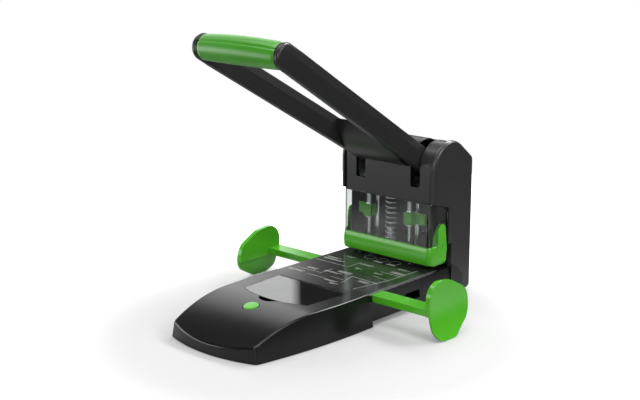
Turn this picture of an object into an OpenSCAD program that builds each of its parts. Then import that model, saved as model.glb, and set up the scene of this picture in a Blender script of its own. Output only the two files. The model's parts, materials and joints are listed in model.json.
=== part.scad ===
// Heavy-duty two-hole lever punch for a desk: a long base with a paper table and a
// storage compartment, a tower with a sprung punch carriage, and a U-shaped lever.
// +X is right, the operator's side is -Y, +Z is up, and z = 0 is the desk.
// The origin is the point on the desk midway between the two punches.

/* [Punching] */
// Distance between the two hole centres
hole_pitch = 80; // [74:1:84]
// Diameter of the punch pins
pin_d = 5.5; // [5:0.1:6.4]
// Clearance between each pin and its die
die_clearance = 0.1; // [0.05:0.01:0.2]
// Height of the pin tips above the paper table
tip_gap = 18.5; // [16:0.5:20]
// Distance from the hole centres to the paper's edge
paper_margin = 12; // [11:0.5:14]

/* [Base] */
// Height of the paper table's top above the desk
table_h = 47.5; // [45:0.5:52]
// Half width of the paper table
table_half = 91; // [88:0.5:93]
// Thickness of the paper table's sheet
table_t = 1.2; // [0.8:0.1:2]
// Distance from the punches to the foremost point of the base
front_reach = 389; // [370:1:400]
// Distance from the punches to the seam behind the front cover
seam_reach = 156; // [152:1:162]
// Greatest half width of the front cover, at the desk
cover_half = 101; // [99:0.5:104]
// Radius of the cover's bowed front
bow_r = 230; // [200:5:400]
// Radius of the cover's curved sides
side_r = 951; // [800:10:1200]
// Inward lean of the front cover's sides, in degrees
lean = 10.5; // [6:0.5:11]
// Backward lean of the front cover's bowed lip, in degrees
lip_lean = 7; // [4:0.5:10]
// Height of the lip, where the cover's nose meets it
lip_h = 22.7; // [18:0.1:26]
// Half width of the rear housing at its foot
housing_half = 97.5; // [96:0.5:99]
// Inward lean of the rear housing's sides, in degrees
housing_lean = 6.8; // [4:0.1:7]
// Wall of the base's mouldings
base_wall = 2.5; // [2:0.1:3]
// Thickness of the base plate
plate_t = 3; // [2:0.5:4]
// Height of the rubber feet
foot_h = 5; // [4:0.5:7]

/* [Storage] */
// Half width of the lid at its hinge
lid_half = 67; // [60:1:72]
// Distance from the punches to the lid's hinge edge
lid_rear = 174; // [171:1:180]
// Length of the lid from its hinge edge to its bowed front
lid_len = 92; // [84:1:94]
// Thickness of the clear lid
lid_t = 2.3; // [2:0.1:3]
// Radius of the green button
button_r = 10.8; // [8:0.1:13]
// Distance from the punches to the button's centre
button_reach = 300; // [297:1:308]
// Travel of the button
button_travel = 2; // [1:0.5:3]

/* [Tower] */
// Half width of the tower between its side shells
tower_half = 82; // [81:0.1:82.4]
// Outer half width over the side shells
shell_half = 92.8; // [92:0.1:93]
// Thickness of each side shell at its rim
shell_t = 7.3; // [6:0.1:7.5]
// Distance from the punches forward to the tower's front panel
panel_reach = 7; // [6.8:0.1:8]
// Height of the front panel's lower edge
panel_low = 147.5; // [145:0.5:150]
// Distance from the punches back to the tower's rear face
tower_rear = 86; // [84:0.5:90]
// Height of the centre of the tower's arched top
arch_z = 200; // [198:0.5:204]
// Radius of the side shells' arched top
shell_r = 41.5; // [40.5:0.5:43]
// Wall of the tower's mouldings
tower_wall = 2; // [1.6:0.1:2.4]
// Thickness of the steel side frames
frame_t = 3.5; // [3:0.1:4]

/* [Lever] */
// Distance from the punches back to the lever's pivot
pivot_back = 46; // [44:0.5:48]
// Height of the lever's pivot
pivot_z = 190; // [188:0.5:192]
// Rest angle of the lever above horizontal, which is also its travel
lever_angle = 30.5; // [28:0.5:33]
// Length from the pivot to the middle of the grip
lever_len = 410.8; // [380:0.1:430]
// Depth of the lever's arms
arm_depth = 35; // [33:0.5:36]
// Thickness of the lever's arms
arm_t = 14; // [12:0.5:15]
// Middle of each arm at the tower, from the centre plane
arm_x = 54; // [53:0.5:55]
// Inner face of each arm at the grip, from the centre plane
grip_in = 74.5; // [70:0.5:90]
// Thickness of each arm at the grip
grip_end_t = 7.5; // [6:0.5:12]
// Diameter of the pivot shaft
shaft_d = 12; // [10:0.5:14]
// Diameter of the grip at its middle
grip_d = 38; // [34:0.5:40]
// Distance from the pivot to the rollers that press the crosshead
roller_arm = 44; // [42:0.5:45]
// Drop of the rollers below the arm's middle line
roller_drop = 8; // [7:0.5:9]
// Diameter of the rollers
roller_d = 6; // [5:0.5:7]

/* [Spring and guides] */
// Outer diameter of the return spring
spring_od = 20; // [16:0.5:20.5]
// Diameter of its wire
spring_wire = 2.2; // [1.6:0.1:2.4]
// Number of its turns
spring_turns = 11; // [8:1:12]
// Distance from the punches back to the spring's axis
spring_back = 5; // [4.5:0.5:6]
// Diameter of the guide rods
rod_d = 8; // [6:0.5:9]
// Distance from the punches back to the guide rods
rod_back = 21; // [20:0.5:22]

/* [Guard] */
// Half width of the guard's green foot
guard_half = 91; // [89:0.5:92]
// Height of the foot's underside above the desk
guard_low = 53.5; // [53:0.5:55]
// Height of the foot's front
guard_foot_h = 32.5; // [28:0.5:34]
// Height of the foot's ears above its underside
ear_h = 63.5; // [56:0.5:66]
// Height of the clear shield's top above the desk
shield_top = 148; // [147:0.5:150]
// Thickness of the clear shield
shield_t = 1.8; // [1.4:0.1:1.8]
// Lift of the guard for a thick stack of paper
guard_lift = 11; // [6:0.5:12]

/* [Paper guide] */
// Distance from the punches forward to the right-hand bar's middle
bar_reach = 137; // [134:0.5:140]
// Distance from the right-hand bar's middle back to the left-hand bar's
bar_spacing = 74; // [68:0.5:76]
// Width of each guide bar
bar_w = 26; // [20:0.5:28]
// Thickness of each guide bar
bar_t = 10.8; // [8:0.2:11]
// Distance from the middle of the table to each paddle's inner face
paddle_reach = 187; // [160:1:230]
// Thickness of the upper half of each paddle
paddle_t = 7.6; // [5:0.1:10]
// Thickness of the lower half of each paddle
paddle_low_t = 4; // [3:0.1:6]
// Radius of the outward curve at the foot of each paddle
paddle_curve = 86; // [70:1:120]

/* [Chip drawer] */
// Half length of the drawer along the base
drawer_half = 30; // [24:0.5:31]
// Height of the drawer's tray
drawer_h = 21; // [16:0.5:23]

/* [Hidden] */
$fn = 96;

// Clearances
eps = 0.01;
seat = 0.3;          // between pieces that rest on or beside each other
slip = 0.05;         // radial, between a shaft or screw and its hole
slot_gap = 1.6;      // beside an arm in its slot

black = "#1b1b1d";
green = "#4fa52f";
steel = "#c9ccd0";

// Base, derived
plate_z = foot_h + plate_t;                    // top of the base plate
sheet_z = table_h - table_t;                   // underside of the table's sheet
front_y = -front_reach;
seam_y = -seam_reach;
widest_y = seam_y - 38;                        // where the cover is widest
skirt_z = 0.8;                                 // foot of the front cover's skirt
cover_top = table_h + 0.5;
roof_r = 241;                                  // radius of the nose along its sides
nose_y = -(lid_rear + lid_len);                // where the nose starts to slope
cover_roof = cover_top - base_wall;            // underside of the cover's flat top
crown_top = cover_top - 0.4;                   // the nose's crown starts just below the top
crown_start = bow_r - front_reach - nose_y;    // from the middle of the bow
housing_low = plate_z;
cover_screws = [[76, seam_y - 44], [60, nose_y - 49]];
screw_d = 4;
screw_head_h = 1.8;

// Storage, derived
lid_y = -lid_rear;
lid_front_half = lid_half - 5;
lid_bow_r = 154;
hinge_r = 2;
hinge_pin_d = 2;
hinge_y = lid_y - hinge_r - 2 * seat;
hinge_z = cover_top - hinge_r;
tray_front = nose_y + 14;
tray_rear = hinge_y - hinge_r - 0.5;
tray_half = lid_front_half - 2;
tray_floor = 26;
tray_wall = 1.8;
tray_rim = cover_roof;
button_y = -button_reach;
button_top = 45.9;
button_skirt_z = 39;
button_low = 36.6;
button_post_z = 26;

// Table and dies, derived
tongue_half = 80;
tongue_y = paper_margin + 3.5;
die_bush_r = 7;
die_r = pin_d / 2 + die_clearance;
die_top_z = sheet_z - 0.1;
die_t = 8;
die_half_x = 62;
die_half_y = drawer_half + 8;
die_leg = 4;

// Lever, derived: s runs along the arm from the pivot, t across it, upwards
pivot = [0, pivot_back, pivot_z];
arm_low = arm_depth / 2;
splay_s = 65;                                  // where the arms start to splay
arm_end_r = 18.5;                              // rounded end of each arm
arm_rim = 1.5;                                 // chamfer along each arm's edges
splay = (grip_in - arm_x + arm_t / 2) / (lever_len + arm_end_r - arm_rim - splay_s);
press_z = pivot_z - roller_drop;               // roller height at the end of the stroke
rest_roller_y = pivot_back - roller_arm * cos(lever_angle) - roller_drop * sin(lever_angle);
rest_roller_z = pivot_z + roller_arm * sin(lever_angle) - roller_drop * cos(lever_angle);
stroke = rest_roller_z - press_z;
roller_reach = norm([roller_arm, roller_drop]);
roller_y_min = pivot_back - roller_reach;
roller_seat = 3;                               // past the middle of the arm

tube_r = 11;
grip_half = grip_in - 2;

// Carriage, derived
punch_x = hole_pitch / 2;
tip_z = table_h + tip_gap;
head_low = tip_z + 84;                         // underside of the crosshead at rest
head_h = 14;
head_top = head_low + head_h;
head_half = punch_x + 12;
head_front = -panel_reach + tower_wall + 0.7;
head_rear = rod_back + 7;
lug_x = [punch_x - 4, punch_x + 1];
lug_r = roller_d / 2 + 2.4;
holder_r = 4.5;
collar_r = 6.5;
collar_t = 1.5;
latch_low = head_low - 39.5;
latch_h = 19.5;
latch_half = 7.7;
latch_front = 6;
latch_tail = 25.5;
rod_foot = sheet_z - 5;
bridge_t = 3.4;
bridge_top = pivot_z - arm_low - 0.9;

// Spring, derived
spring_low = tip_z + 3.2;
spring_high = head_low - 0.2;
wire_r = spring_wire / 2;
coil_r = spring_od / 2 - wire_r;
rings = 8;                                     // rings in each turn of a coil
sides = 6;                                     // sides of the wire

// Tower, derived
panel_y = -panel_reach;
arch_y = pivot_back - 14;
housing_r = shell_r - 2;
rear_slope = 38.7;                             // fall of the top behind the arch, in degrees
shell_x = shell_half - shell_t;                // inner face of the side shells
shell_inset = 3.6;                             // rounded outer edge of the shells
shell_foot = 2;
wall_x = 76.6;                                 // half width over the inner wall
wall_back = 31.5;
wall_front = -0.5;
wall_side_t = 2.2;
frame_x = 64.5;                                // inner face of the side frames
frame_front = wall_back + 1.5;
slot_x = [arm_x - arm_t / 2 - 2.5, arm_x + arm_t / 2 + slot_gap - 0.3];
rear_y = tower_rear - 4;                       // outer face of the rear cover
rear_t = 2.4;
frame_rear = rear_y - rear_t - 0.1;

// Guard, derived
shield_y = panel_y - 0.4;                      // inner face of the shield's front
foot_front = shield_y - 3.8;
side_x = tower_half + 0.8;                     // inner face of the shield's sides
side_back = 32;
foot_inner = side_x + shield_t + 0.4;

// Paper guide, derived
bar_y = -bar_reach;
bar_low = sheet_z - bar_t - 0.5;
channel_rail = 2;
channel_half = housing_half - 10;
channel_y = [bar_y - bar_w / 2 - seat, bar_y + bar_w / 2 + seat];
guide_mid_y = bar_y + bar_spacing / 2;         // the two arms match about this line
bar_inner = -10;                               // end of the right-hand bar in its channel
tenon = [10, 3];                               // how far a bar is cut down and reaches in

// Chip drawer, derived
drawer_low = plate_z + seat;
drawer_wall = 2;
drawer_left = -84;
drawer_right = 88;
face_front = -drawer_half - 8;                 // front edge of the drawer's face
face_rear = drawer_half + 1;

// ---------- shared shapes ----------

// Block from its lowest to its highest corner
module block(low, high) {
    translate(low) cube(high - low);
}

// Block and its mirror image in the centre plane
module block_pair(low, high) {
    block(low, high);
    mirror([1, 0, 0]) block(low, high);
}

// Round bar along X between two stations
module bar_along_x(r, x0, x1) {
    translate([x0, 0, 0]) rotate([0, 90, 0]) cylinder(r = r, h = x1 - x0);
}

// Round bar along Y between two stations
module bar_along_y(r, y0, y1) {
    translate([0, y0, 0]) rotate([-90, 0, 0]) cylinder(r = r, h = y1 - y0);
}

// An outline drawn in (y, z), carried along X between two stations
module along_x(x0, x1) {
    translate([x0, 0, 0]) rotate([90, 0, 90]) linear_extrude(x1 - x0) children();
}

// An outline drawn in (x, z), carried along Y between two stations
module along_y(y0, y1) {
    translate([0, y1, 0]) rotate([90, 0, 0]) linear_extrude(y1 - y0) children();
}

// Puts a shape drawn along the lever, with s on X and t on Y and the machine's X on Z,
// in its place at rest
module on_lever() {
    translate(pivot) rotate([-lever_angle, 0, 0])
        multmatrix([[0, 0, 1, 0], [-1, 0, 0, 0], [0, 1, 0, 0], [0, 0, 0, 1]]) children();
}

function y_at(s, t) = pivot_back - s * cos(lever_angle) + t * sin(lever_angle);
function z_at(s, t) = pivot_z + s * sin(lever_angle) + t * cos(lever_angle);

// Coil of wire as one unbroken tube: closed end turns, an even pitch between them,
// and a straight end one wire diameter long
function coil_height(turn, turns, length, wire) =
    let (end_pitch = wire + 0.6, mid = (length - wire - 2 * end_pitch) / (turns - 2))
    turn < 1 ? turn * end_pitch
    : turn > turns - 1 ? length - wire - (turns - turn) * end_pitch
    : end_pitch + (turn - 1) * mid;

function coil_point(i, r, turns, length, wire) =
    let (a = 360 * i / rings)
    [r * cos(a), r * sin(a), wire / 2 + coil_height(i / rings, turns, length, wire)];

function coil_path(r, turns, length, wire) =
    let (n = turns * rings, first = coil_point(0, r, turns, length, wire),
         last = coil_point(n, r, turns, length, wire))
    concat([first - [0, wire, 0]],
           [for (i = [0:n]) coil_point(i, r, turns, length, wire)],
           [last + [0, wire, 0]]);

function unit(v) = v / norm(v);

function coil_rings(path, wire) =
    [for (i = [0:len(path) - 1])
        let (before = path[max(i - 1, 0)], after = path[min(i + 1, len(path) - 1)],
             along = unit(after - before),
             out = unit([path[i][0], path[i][1] * (i == 0 || i == len(path) - 1 ? 0 : 1), 0]),
             side = unit(cross(along, out)), face = cross(side, along))
        for (k = [0:sides - 1])
            path[i] + wire / 2 * (cos(360 * k / sides) * face + sin(360 * k / sides) * side)];

module coil_tube(r, turns, length, wire) {
    path = coil_path(r, turns, length, wire);
    last = len(path) - 1;
    points = coil_rings(path, wire);
    walls = [for (i = [0:last - 1]) for (k = [0:sides - 1])
        let (a = i * sides + k, b = i * sides + (k + 1) % sides)
        each [[a, b, a + sides], [b, b + sides, a + sides]]];
    caps = [for (k = [1:sides - 2]) each [[0, k + 1, k],
        [last * sides, last * sides + k, last * sides + k + 1]]];
    polyhedron(points, concat(walls, caps));
    gaps = [for (i = [0:last - rings]) for (j = [i + rings - 1:min(i + rings + 1, last)])
        norm(path[j] - path[i]) - wire];
    echo(least_gap_of_the_coil_to_itself = min(gaps));
}

// ---------- base ----------

// Plan of the front cover as a solid with leaning walls, grown inwards by inset
module cover_body(inset, z0, z1) {
    rise = (z1 - z0) * tan(lean);
    lip_rise = (z1 - z0) * tan(lip_lean);
    bow_y = front_y + bow_r;
    side_x0 = cover_half - side_r;
    intersection() {
        translate([0, bow_y, z0])
            cylinder(r1 = bow_r - inset, r2 = bow_r - inset - lip_rise, h = z1 - z0, $fn = 240);
        translate([side_x0, widest_y, z0])
            cylinder(r1 = side_r - inset, r2 = side_r - inset - rise, h = z1 - z0, $fn = 240);
        translate([-side_x0, widest_y, z0])
            cylinder(r1 = side_r - inset, r2 = side_r - inset - rise, h = z1 - z0, $fn = 240);
        block([-cover_half - 5, front_y - 5, z0], [cover_half + 5, seam_y, z1]);
    }
}

// Space below the front cover's roof: flat over the compartment, then an arched nose,
// which is crowned along the bow so that its lip keeps one height
module roof_body(drop) {
    crown_run = bow_r - lip_h * tan(lip_lean) - crown_start;
    crown_fall = crown_top - lip_h;
    crown_r = (pow(crown_run, 2) + pow(crown_fall, 2)) / (2 * crown_fall);
    union() {
        along_x(-cover_half, cover_half) intersection() {
            union() {
                translate([nose_y, cover_top - roof_r]) circle(r = roof_r - drop, $fn = 360);
                translate([nose_y, -20]) square([-nose_y, cover_top - drop + 20]);
            }
            translate([front_y - 10, -5]) square([front_reach, cover_top - drop + 5]);
        }
        translate([0, front_y + bow_r, 0]) rotate_extrude($fn = 360) intersection() {
            translate([crown_start, crown_top - crown_r]) circle(r = crown_r - drop, $fn = 720);
            translate([crown_start, -5]) square([crown_run + 10, crown_top + 5]);
        }
    }
}

// Outline of the lid's opening, grown inwards by gap
module lid_outline(gap) {
    intersection() {
        polygon([[-lid_half + gap, lid_y - gap], [lid_half - gap, lid_y - gap],
            [lid_front_half - gap - 1, nose_y - 1], [-lid_front_half + gap + 1, nose_y - 1]]);
        translate([0, nose_y + lid_bow_r]) circle(r = lid_bow_r - gap, $fn = 180);
    }
}

module front_cover() {
    notch_r = 18;
    notch_y = nose_y + 10;
    boss_r = 4.5;
    color(black) {
        difference() {
            intersection() {
                cover_body(0, skirt_z, skirt_z + cover_top);
                roof_body(0);
            }
            difference() {
                intersection() {
                    cover_body(base_wall, skirt_z - eps, skirt_z + cover_top);
                    roof_body(base_wall);
                    block([-cover_half, front_y, skirt_z - 1], [cover_half, seam_y + 1, cover_roof]);
                }
                for (side = [-1, 1]) for (p = cover_screws)
                    translate([side * p[0], p[1], plate_z]) cylinder(r = boss_r, h = table_h);
                translate([0, button_y, button_skirt_z])
                    cylinder(r = button_r + 2.4, h = table_h - button_skirt_z);
                block_pair([lid_half, hinge_y - 3, hinge_z - 3],
                    [lid_half + 4, hinge_y + 3, cover_top]);
            }
            translate([0, 0, cover_roof - 5]) linear_extrude(base_wall + 10) lid_outline(0);
            translate([0, notch_y, cover_roof - 5]) cylinder(r = notch_r, h = base_wall + 10);
            translate([0, button_y, 0]) cylinder(r = button_r + 0.4, h = table_h + 10);
            translate([0, hinge_y, hinge_z])
                bar_along_x(hinge_pin_d / 2 + slip, -lid_half - 3, lid_half + 3);
            for (side = [-1, 1]) for (p = cover_screws)
                translate([side * p[0], p[1], 0]) cylinder(r = screw_d / 2 + slip, h = 26);
        }
    }
}

module base_plate() {
    plate_half = 84;
    color(steel) difference() {
        union() {
            block([-plate_half, nose_y - 74, foot_h], [plate_half, frame_rear, plate_z]);
            translate([0, button_y, plate_z - eps]) cylinder(r = 8, h = button_post_z - plate_z + eps);
        }
        for (side = [-1, 1]) for (p = cover_screws)
            translate([side * p[0], p[1], 0]) cylinder(r = screw_d / 2 + 0.1, h = 26);
    }
}

module front_feet() {
    color("#262626") for (side = [-1, 1])
        translate([side * 62, nose_y - 28, 0]) cylinder(r = 11, h = foot_h);
}

module rear_pad() {
    color("#262626") block([-70, -34, 0], [70, frame_rear - 8, foot_h]);
}

module base_screws() {
    color(steel) for (side = [-1, 1]) for (p = cover_screws)
        translate([side * p[0], p[1], foot_h - screw_head_h]) {
            cylinder(r = screw_d, h = screw_head_h);
            cylinder(r = screw_d / 2, h = screw_head_h + 18);
        }
}

module storage_tray() {
    flange = 7;
    color("#101011") difference() {
        union() {
            block([-tray_half, tray_front, tray_floor], [tray_half, tray_rear, tray_rim]);
            block([-tray_half - flange, tray_front - flange + 1, tray_rim - tray_wall],
                [tray_half + flange, tray_rear, tray_rim]);
        }
        block([-tray_half + tray_wall, tray_front + tray_wall, tray_floor + tray_wall],
            [tray_half - tray_wall, tray_rear - tray_wall, tray_rim + 1]);
    }
}

module label_card() {
    card_z = tray_floor + tray_wall;
    color(green) block([-4, tray_rear - 34, card_z], [tray_half - 6, tray_rear - 6, card_z + 0.6]);
}

module storage_lid() {
    barrel_half = lid_half - 0.6;
    color([0.85, 0.9, 0.9, 0.4]) difference() {
        union() {
            intersection() {
                translate([0, 0, cover_top - lid_t]) linear_extrude(lid_t) lid_outline(0.4);
                block([-lid_half, nose_y, 0], [lid_half, hinge_y, cover_top]);
            }
            translate([0, hinge_y, hinge_z]) bar_along_x(hinge_r, -barrel_half, barrel_half);
        }
        translate([0, hinge_y, hinge_z])
            bar_along_x(hinge_pin_d / 2 + slip, -lid_half, lid_half);
    }
}

module lid_pin() {
    color(steel) translate([0, hinge_y, hinge_z])
        bar_along_x(hinge_pin_d / 2, -lid_half - 2.9, lid_half + 2.9);
}

module release_button() {
    crown = 0.9;
    crown_r = (pow(button_r, 2) + pow(crown, 2)) / (2 * crown);
    color(green) translate([0, button_y, 0]) intersection() {
        union() {
            translate([0, 0, button_low]) cylinder(r = button_r, h = button_top - button_low);
            translate([0, 0, button_low]) cylinder(r = button_r + 2.2,
                h = button_skirt_z - 0.2 - button_low);
        }
        union() {
            translate([0, 0, button_top - crown_r]) sphere(r = crown_r);
            cylinder(r = button_r + 3, h = button_skirt_z);
        }
    }
}

module button_spring() {
    color(steel) translate([0, button_y, button_post_z + 0.1])
        coil_tube(5, 4, button_low - button_post_z - 0.2, 1);
}

// ---------- table, housing and guide ----------

// Cross-section of the rear housing, in (x, z)
module housing_section(inset) {
    rise = (sheet_z - housing_low) * tan(housing_lean);
    low = inset > 0 ? housing_low - 1 : housing_low;
    top = sheet_z - (inset > 0 ? base_wall : 0.05);
    polygon([[-housing_half + inset, low], [housing_half - inset, low],
        [housing_half - inset - rise, top], [-housing_half + inset + rise, top]]);
}

// Side view of the cheeks beside the tower's foot, in (y, z)
module cheek_outline(front) {
    cheek_r = 34;
    cheek_y = 27;
    intersection() {
        translate([cheek_y, 16]) circle(r = cheek_r);
        translate([front, housing_low]) square([80, 50]);
    }
}

module rear_housing() {
    cheek_in = shell_half + 0.5;
    cheek_front = face_rear + 0.5;
    rib = [78, bar_y + bar_w / 2 + 6];
    rib_t = 5;
    cheek_t = 3;
    well_half = 72;
    recess = [-79, -44];
    color(black) difference() {
        union() {
            difference() {
                along_y(seam_y + 0.1, face_rear + 2) housing_section(0);
                along_y(seam_y - 1, face_rear - 0.5) housing_section(base_wall);
            }
            along_x(cheek_in, cheek_in + cheek_t) cheek_outline(cheek_front);
            along_x(-cheek_in - cheek_t, -cheek_in) cheek_outline(cheek_front);
            block_pair([rib[0], rib[1], housing_low], [rib[0] + rib_t, rib[1] + rib_t, sheet_z - 1]);
            block_pair([table_half - 10, seam_y + 0.1, sheet_z - 8],
                [table_half - 6, seam_y + 6, sheet_z - 0.1]);
        }
        // opening under the table's tongue for the dies and the tower's frames
        block([-well_half, -die_half_y - 1, housing_low - 1], [well_half, 80, table_h + 10]);
        // slots for the guide bars, and openings for their channels
        on_both_arms() {
            block([0, bar_y - bar_w / 2 - 0.8, bar_low - 0.8],
                [110, bar_y + bar_w / 2 + 0.8, table_h + 1]);
            block([-channel_half - seat, channel_y[0] - channel_rail - seat, bar_low - 5],
                [channel_half + seat, channel_y[1] + channel_rail + seat, table_h + 1]);
        }
        // opening for the chip drawer
        block([0, face_front - 0.4, housing_low + 1.2], [110, face_rear + 0.4, sheet_z - 1.6]);
        block([0, -drawer_half - 0.4, housing_low - 1], [110, drawer_half + 0.4, housing_low + 2]);
        // finger recess under the table's edge
        block_pair([housing_half - 12, recess[0], 18], [110, recess[1], 30]);
        // room for the side shells
        block_pair([shell_x - 0.5, side_back - 0.4, housing_low - 1], [cheek_in, 90, 60]);
    }
}

module table_plate() {
    color("#202022") difference() {
        union() {
            block([-table_half, seam_y + 0.2, sheet_z], [table_half, 1, table_h]);
            block([-tongue_half, 0.5, sheet_z], [tongue_half, tongue_y, table_h]);
        }
        for (side = [-1, 1]) translate([side * punch_x, 0, sheet_z - 1])
            cylinder(r = die_bush_r + slip, h = table_t + 2);
    }
}

module die_plate() {
    color(steel) difference() {
        union() {
            block([-die_half_x, -die_half_y, die_top_z - die_t],
                [die_half_x, die_half_y, die_top_z]);
            for (side = [-1, 1])
                translate([0, side * (die_half_y - die_leg / 2), 0])
                    block([-die_half_x, -die_leg / 2, plate_z],
                        [die_half_x, die_leg / 2, die_top_z - 1]);
        }
        for (side = [-1, 1]) {
            translate([side * punch_x, 0, 0]) cylinder(r = die_bush_r + slip, h = table_h);
            translate([side * punch_x, rod_back, 0]) cylinder(r = rod_d / 2 + slip, h = table_h);
        }
    }
}

module die_bushes() {
    color("#dfe2e6") for (side = [-1, 1])
        translate([side * punch_x, 0, die_top_z - die_t]) difference() {
            cylinder(r = die_bush_r, h = table_h - die_top_z + die_t);
            translate([0, 0, -1]) cylinder(r = die_r, h = die_t + 4);
        }
}

module paper_stop() {
    stop_half = 60;
    stop_h = 16;
    color("#202022")
        block([-stop_half, paper_margin, table_h], [stop_half, paper_margin + 2.5, table_h + stop_h]);
}

module guide_channel() {
    y0 = channel_y[0] - channel_rail;
    y1 = channel_y[1] + channel_rail;
    low = bar_low - seat;
    color("#151517") on_both_arms() {
        block([-channel_half, y0, low - channel_rail], [channel_half, y1, low]);
        block([-channel_half, y0, low - eps], [channel_half, channel_y[0], sheet_z]);
        block([-channel_half, channel_y[1], low - eps], [channel_half, y1, sheet_z]);
    }
}

// The right-hand guide arm's shapes, and the same turned half round for the left
module on_both_arms() {
    children();
    on_left_arm() children();
}

module on_left_arm() {
    translate([0, 2 * guide_mid_y, 0]) rotate([0, 0, 180]) children();
}

module guide_bar() {
    groove = 0.8;
    grooves = 5;
    pitch = bar_t / (grooves + 1);
    shoulder = (bar_w - tenon[0]) / 2;
    color(green) difference() {
        union() {
            block([bar_inner, bar_y - bar_w / 2, bar_low],
                [paddle_reach, bar_y + bar_w / 2, bar_low + bar_t]);
            block([paddle_reach - eps, bar_y - bar_w / 2 + shoulder, bar_low + 2],
                [paddle_reach + tenon[1], bar_y + bar_w / 2 - shoulder, bar_low + bar_t - 2]);
        }
        for (i = [1:grooves]) translate([0, 0, bar_low + i * pitch - groove / 2])
            block([bar_inner + 12, bar_y - bar_w / 2 - 1, 0],
                [paddle_reach - 12, bar_y - bar_w / 2 + groove, groove]);
    }
}

module guide_bar_right() {
    guide_bar();
}

module guide_bar_left() {
    on_left_arm() guide_bar();
}

// Outline of a paddle in (y, z), with y from its bar's middle: a leaning egg
module paddle_outline() {
    hull() {
        translate([12, 57]) circle(r = 23.5, $fn = 48);
        translate([28, 50]) circle(r = 28.5, $fn = 48);
        translate([48, 40]) circle(r = 28, $fn = 48);
        translate([24, 27]) circle(r = 27.5, $fn = 48);
        translate([6, 17]) circle(r = 17.5, $fn = 48);
    }
}

// Section of a paddle in (x, z): upright above, thinner and curved outwards below the bar
module paddle_section() {
    outer = paddle_reach + paddle_t;
    bend_z = table_h + 2.5;
    step_z = bar_low - 1;
    difference() {
        union() {
            translate([paddle_reach, step_z]) square([paddle_t, 80]);
            difference() {
                translate([paddle_reach, 0]) square([40, bend_z]);
                translate([outer + paddle_curve, bend_z])
                    circle(r = paddle_curve, $fn = 240);
            }
        }
        difference() {
            translate([paddle_reach - 1, -1]) square([40, step_z + 1]);
            translate([outer + paddle_curve, bend_z])
                circle(r = paddle_curve + paddle_low_t, $fn = 240);
        }
    }
}

module paddle() {
    shoulder = (bar_w - tenon[0]) / 2;
    color(green) difference() {
        intersection() {
            translate([0, bar_y, 0.8]) along_x(paddle_reach - 1, paddle_reach + 40) paddle_outline();
            along_y(bar_y - 20, bar_y + 90) paddle_section();
        }
        block([paddle_reach - 1, bar_y - bar_w / 2 + shoulder - seat, bar_low + 2 - seat],
            [paddle_reach + tenon[1] + seat, bar_y + bar_w / 2 - shoulder + seat,
                bar_low + bar_t - 2 + seat]);
    }
}

module paddle_right() {
    paddle();
}

module paddle_left() {
    on_left_arm() paddle();
}

module chip_drawer() {
    color(black) {
        difference() {
            block([drawer_left, -drawer_half, drawer_low],
                [drawer_right, drawer_half, drawer_low + drawer_h]);
            block([drawer_left + drawer_wall, -drawer_half + drawer_wall, drawer_low + drawer_wall],
                [drawer_right - drawer_wall, drawer_half - drawer_wall, drawer_low + drawer_h + 1]);
        }
        intersection() {
            difference() {
                along_y(face_front, face_rear) housing_section(0);
                along_y(face_front - 1, face_rear + 1) housing_section(base_wall);
            }
            block([80, face_front, housing_low + 1.6], [110, face_rear, sheet_z - 2]);
        }
        intersection() {
            along_y(-drawer_half, drawer_half) housing_section(0);
            block([drawer_right - drawer_wall, -drawer_half, drawer_low + 2],
                [110, drawer_half, drawer_low + drawer_h - 4]);
        }
    }
}

// ---------- tower ----------

// Side view of the tower in (y, z): front edge, arched top, sloping back and rear face
module tower_outline(r, front, rear, low) {
    reach = r - 0.05;
    tangent = [arch_y + reach * sin(rear_slope), arch_z + reach * cos(rear_slope)];
    difference() {
        polygon([[front, low], [front, tangent[1] + (tangent[0] - front) * tan(rear_slope)],
            [rear, tangent[1] - (rear - tangent[0]) * tan(rear_slope)], [rear, low]]);
        difference() {
            translate([front - 1, arch_z]) square([tangent[0] - front + 1, 200]);
            translate([arch_y, arch_z]) circle(r = r, $fn = 120);
        }
    }
}

module center_housing() {
    inner_r = housing_r - tower_wall;
    slot_low = bridge_top;
    slot_back = pivot_back + 2;
    color(black) difference() {
        along_x(-tower_half, tower_half)
            tower_outline(housing_r, panel_y, rear_y - rear_t, panel_low);
        along_x(-tower_half + tower_wall, tower_half - tower_wall)
            tower_outline(inner_r, panel_y + tower_wall, rear_y + 1, panel_low - 1);
        for (side = [-1, 1]) translate([side * (slot_x[0] + slot_x[1]) / 2, 0, 0])
            block([-(slot_x[1] - slot_x[0]) / 2, panel_y - 5, slot_low],
                [(slot_x[1] - slot_x[0]) / 2, slot_back, arch_z + 60]);
    }
}

// Side view of a shell: the tower's outline with its rear corner rounded
module shell_outline(inset) {
    corner_r = 9;
    r = shell_r - inset;
    rear = tower_rear - inset;
    corner_y = rear - corner_r + inset / 2;
    slope_z = arch_z + r / cos(rear_slope) - (corner_y - arch_y) * tan(rear_slope);
    hull() {
        translate([arch_y, arch_z]) circle(r = r, $fn = 96);
        translate([corner_y, slope_z - (corner_r - inset / 2) / cos(rear_slope)])
            circle(r = corner_r - inset / 2, $fn = 48);
        translate([arch_y - r, shell_foot + inset]) square([rear - arch_y + r, 1]);
    }
}

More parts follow.
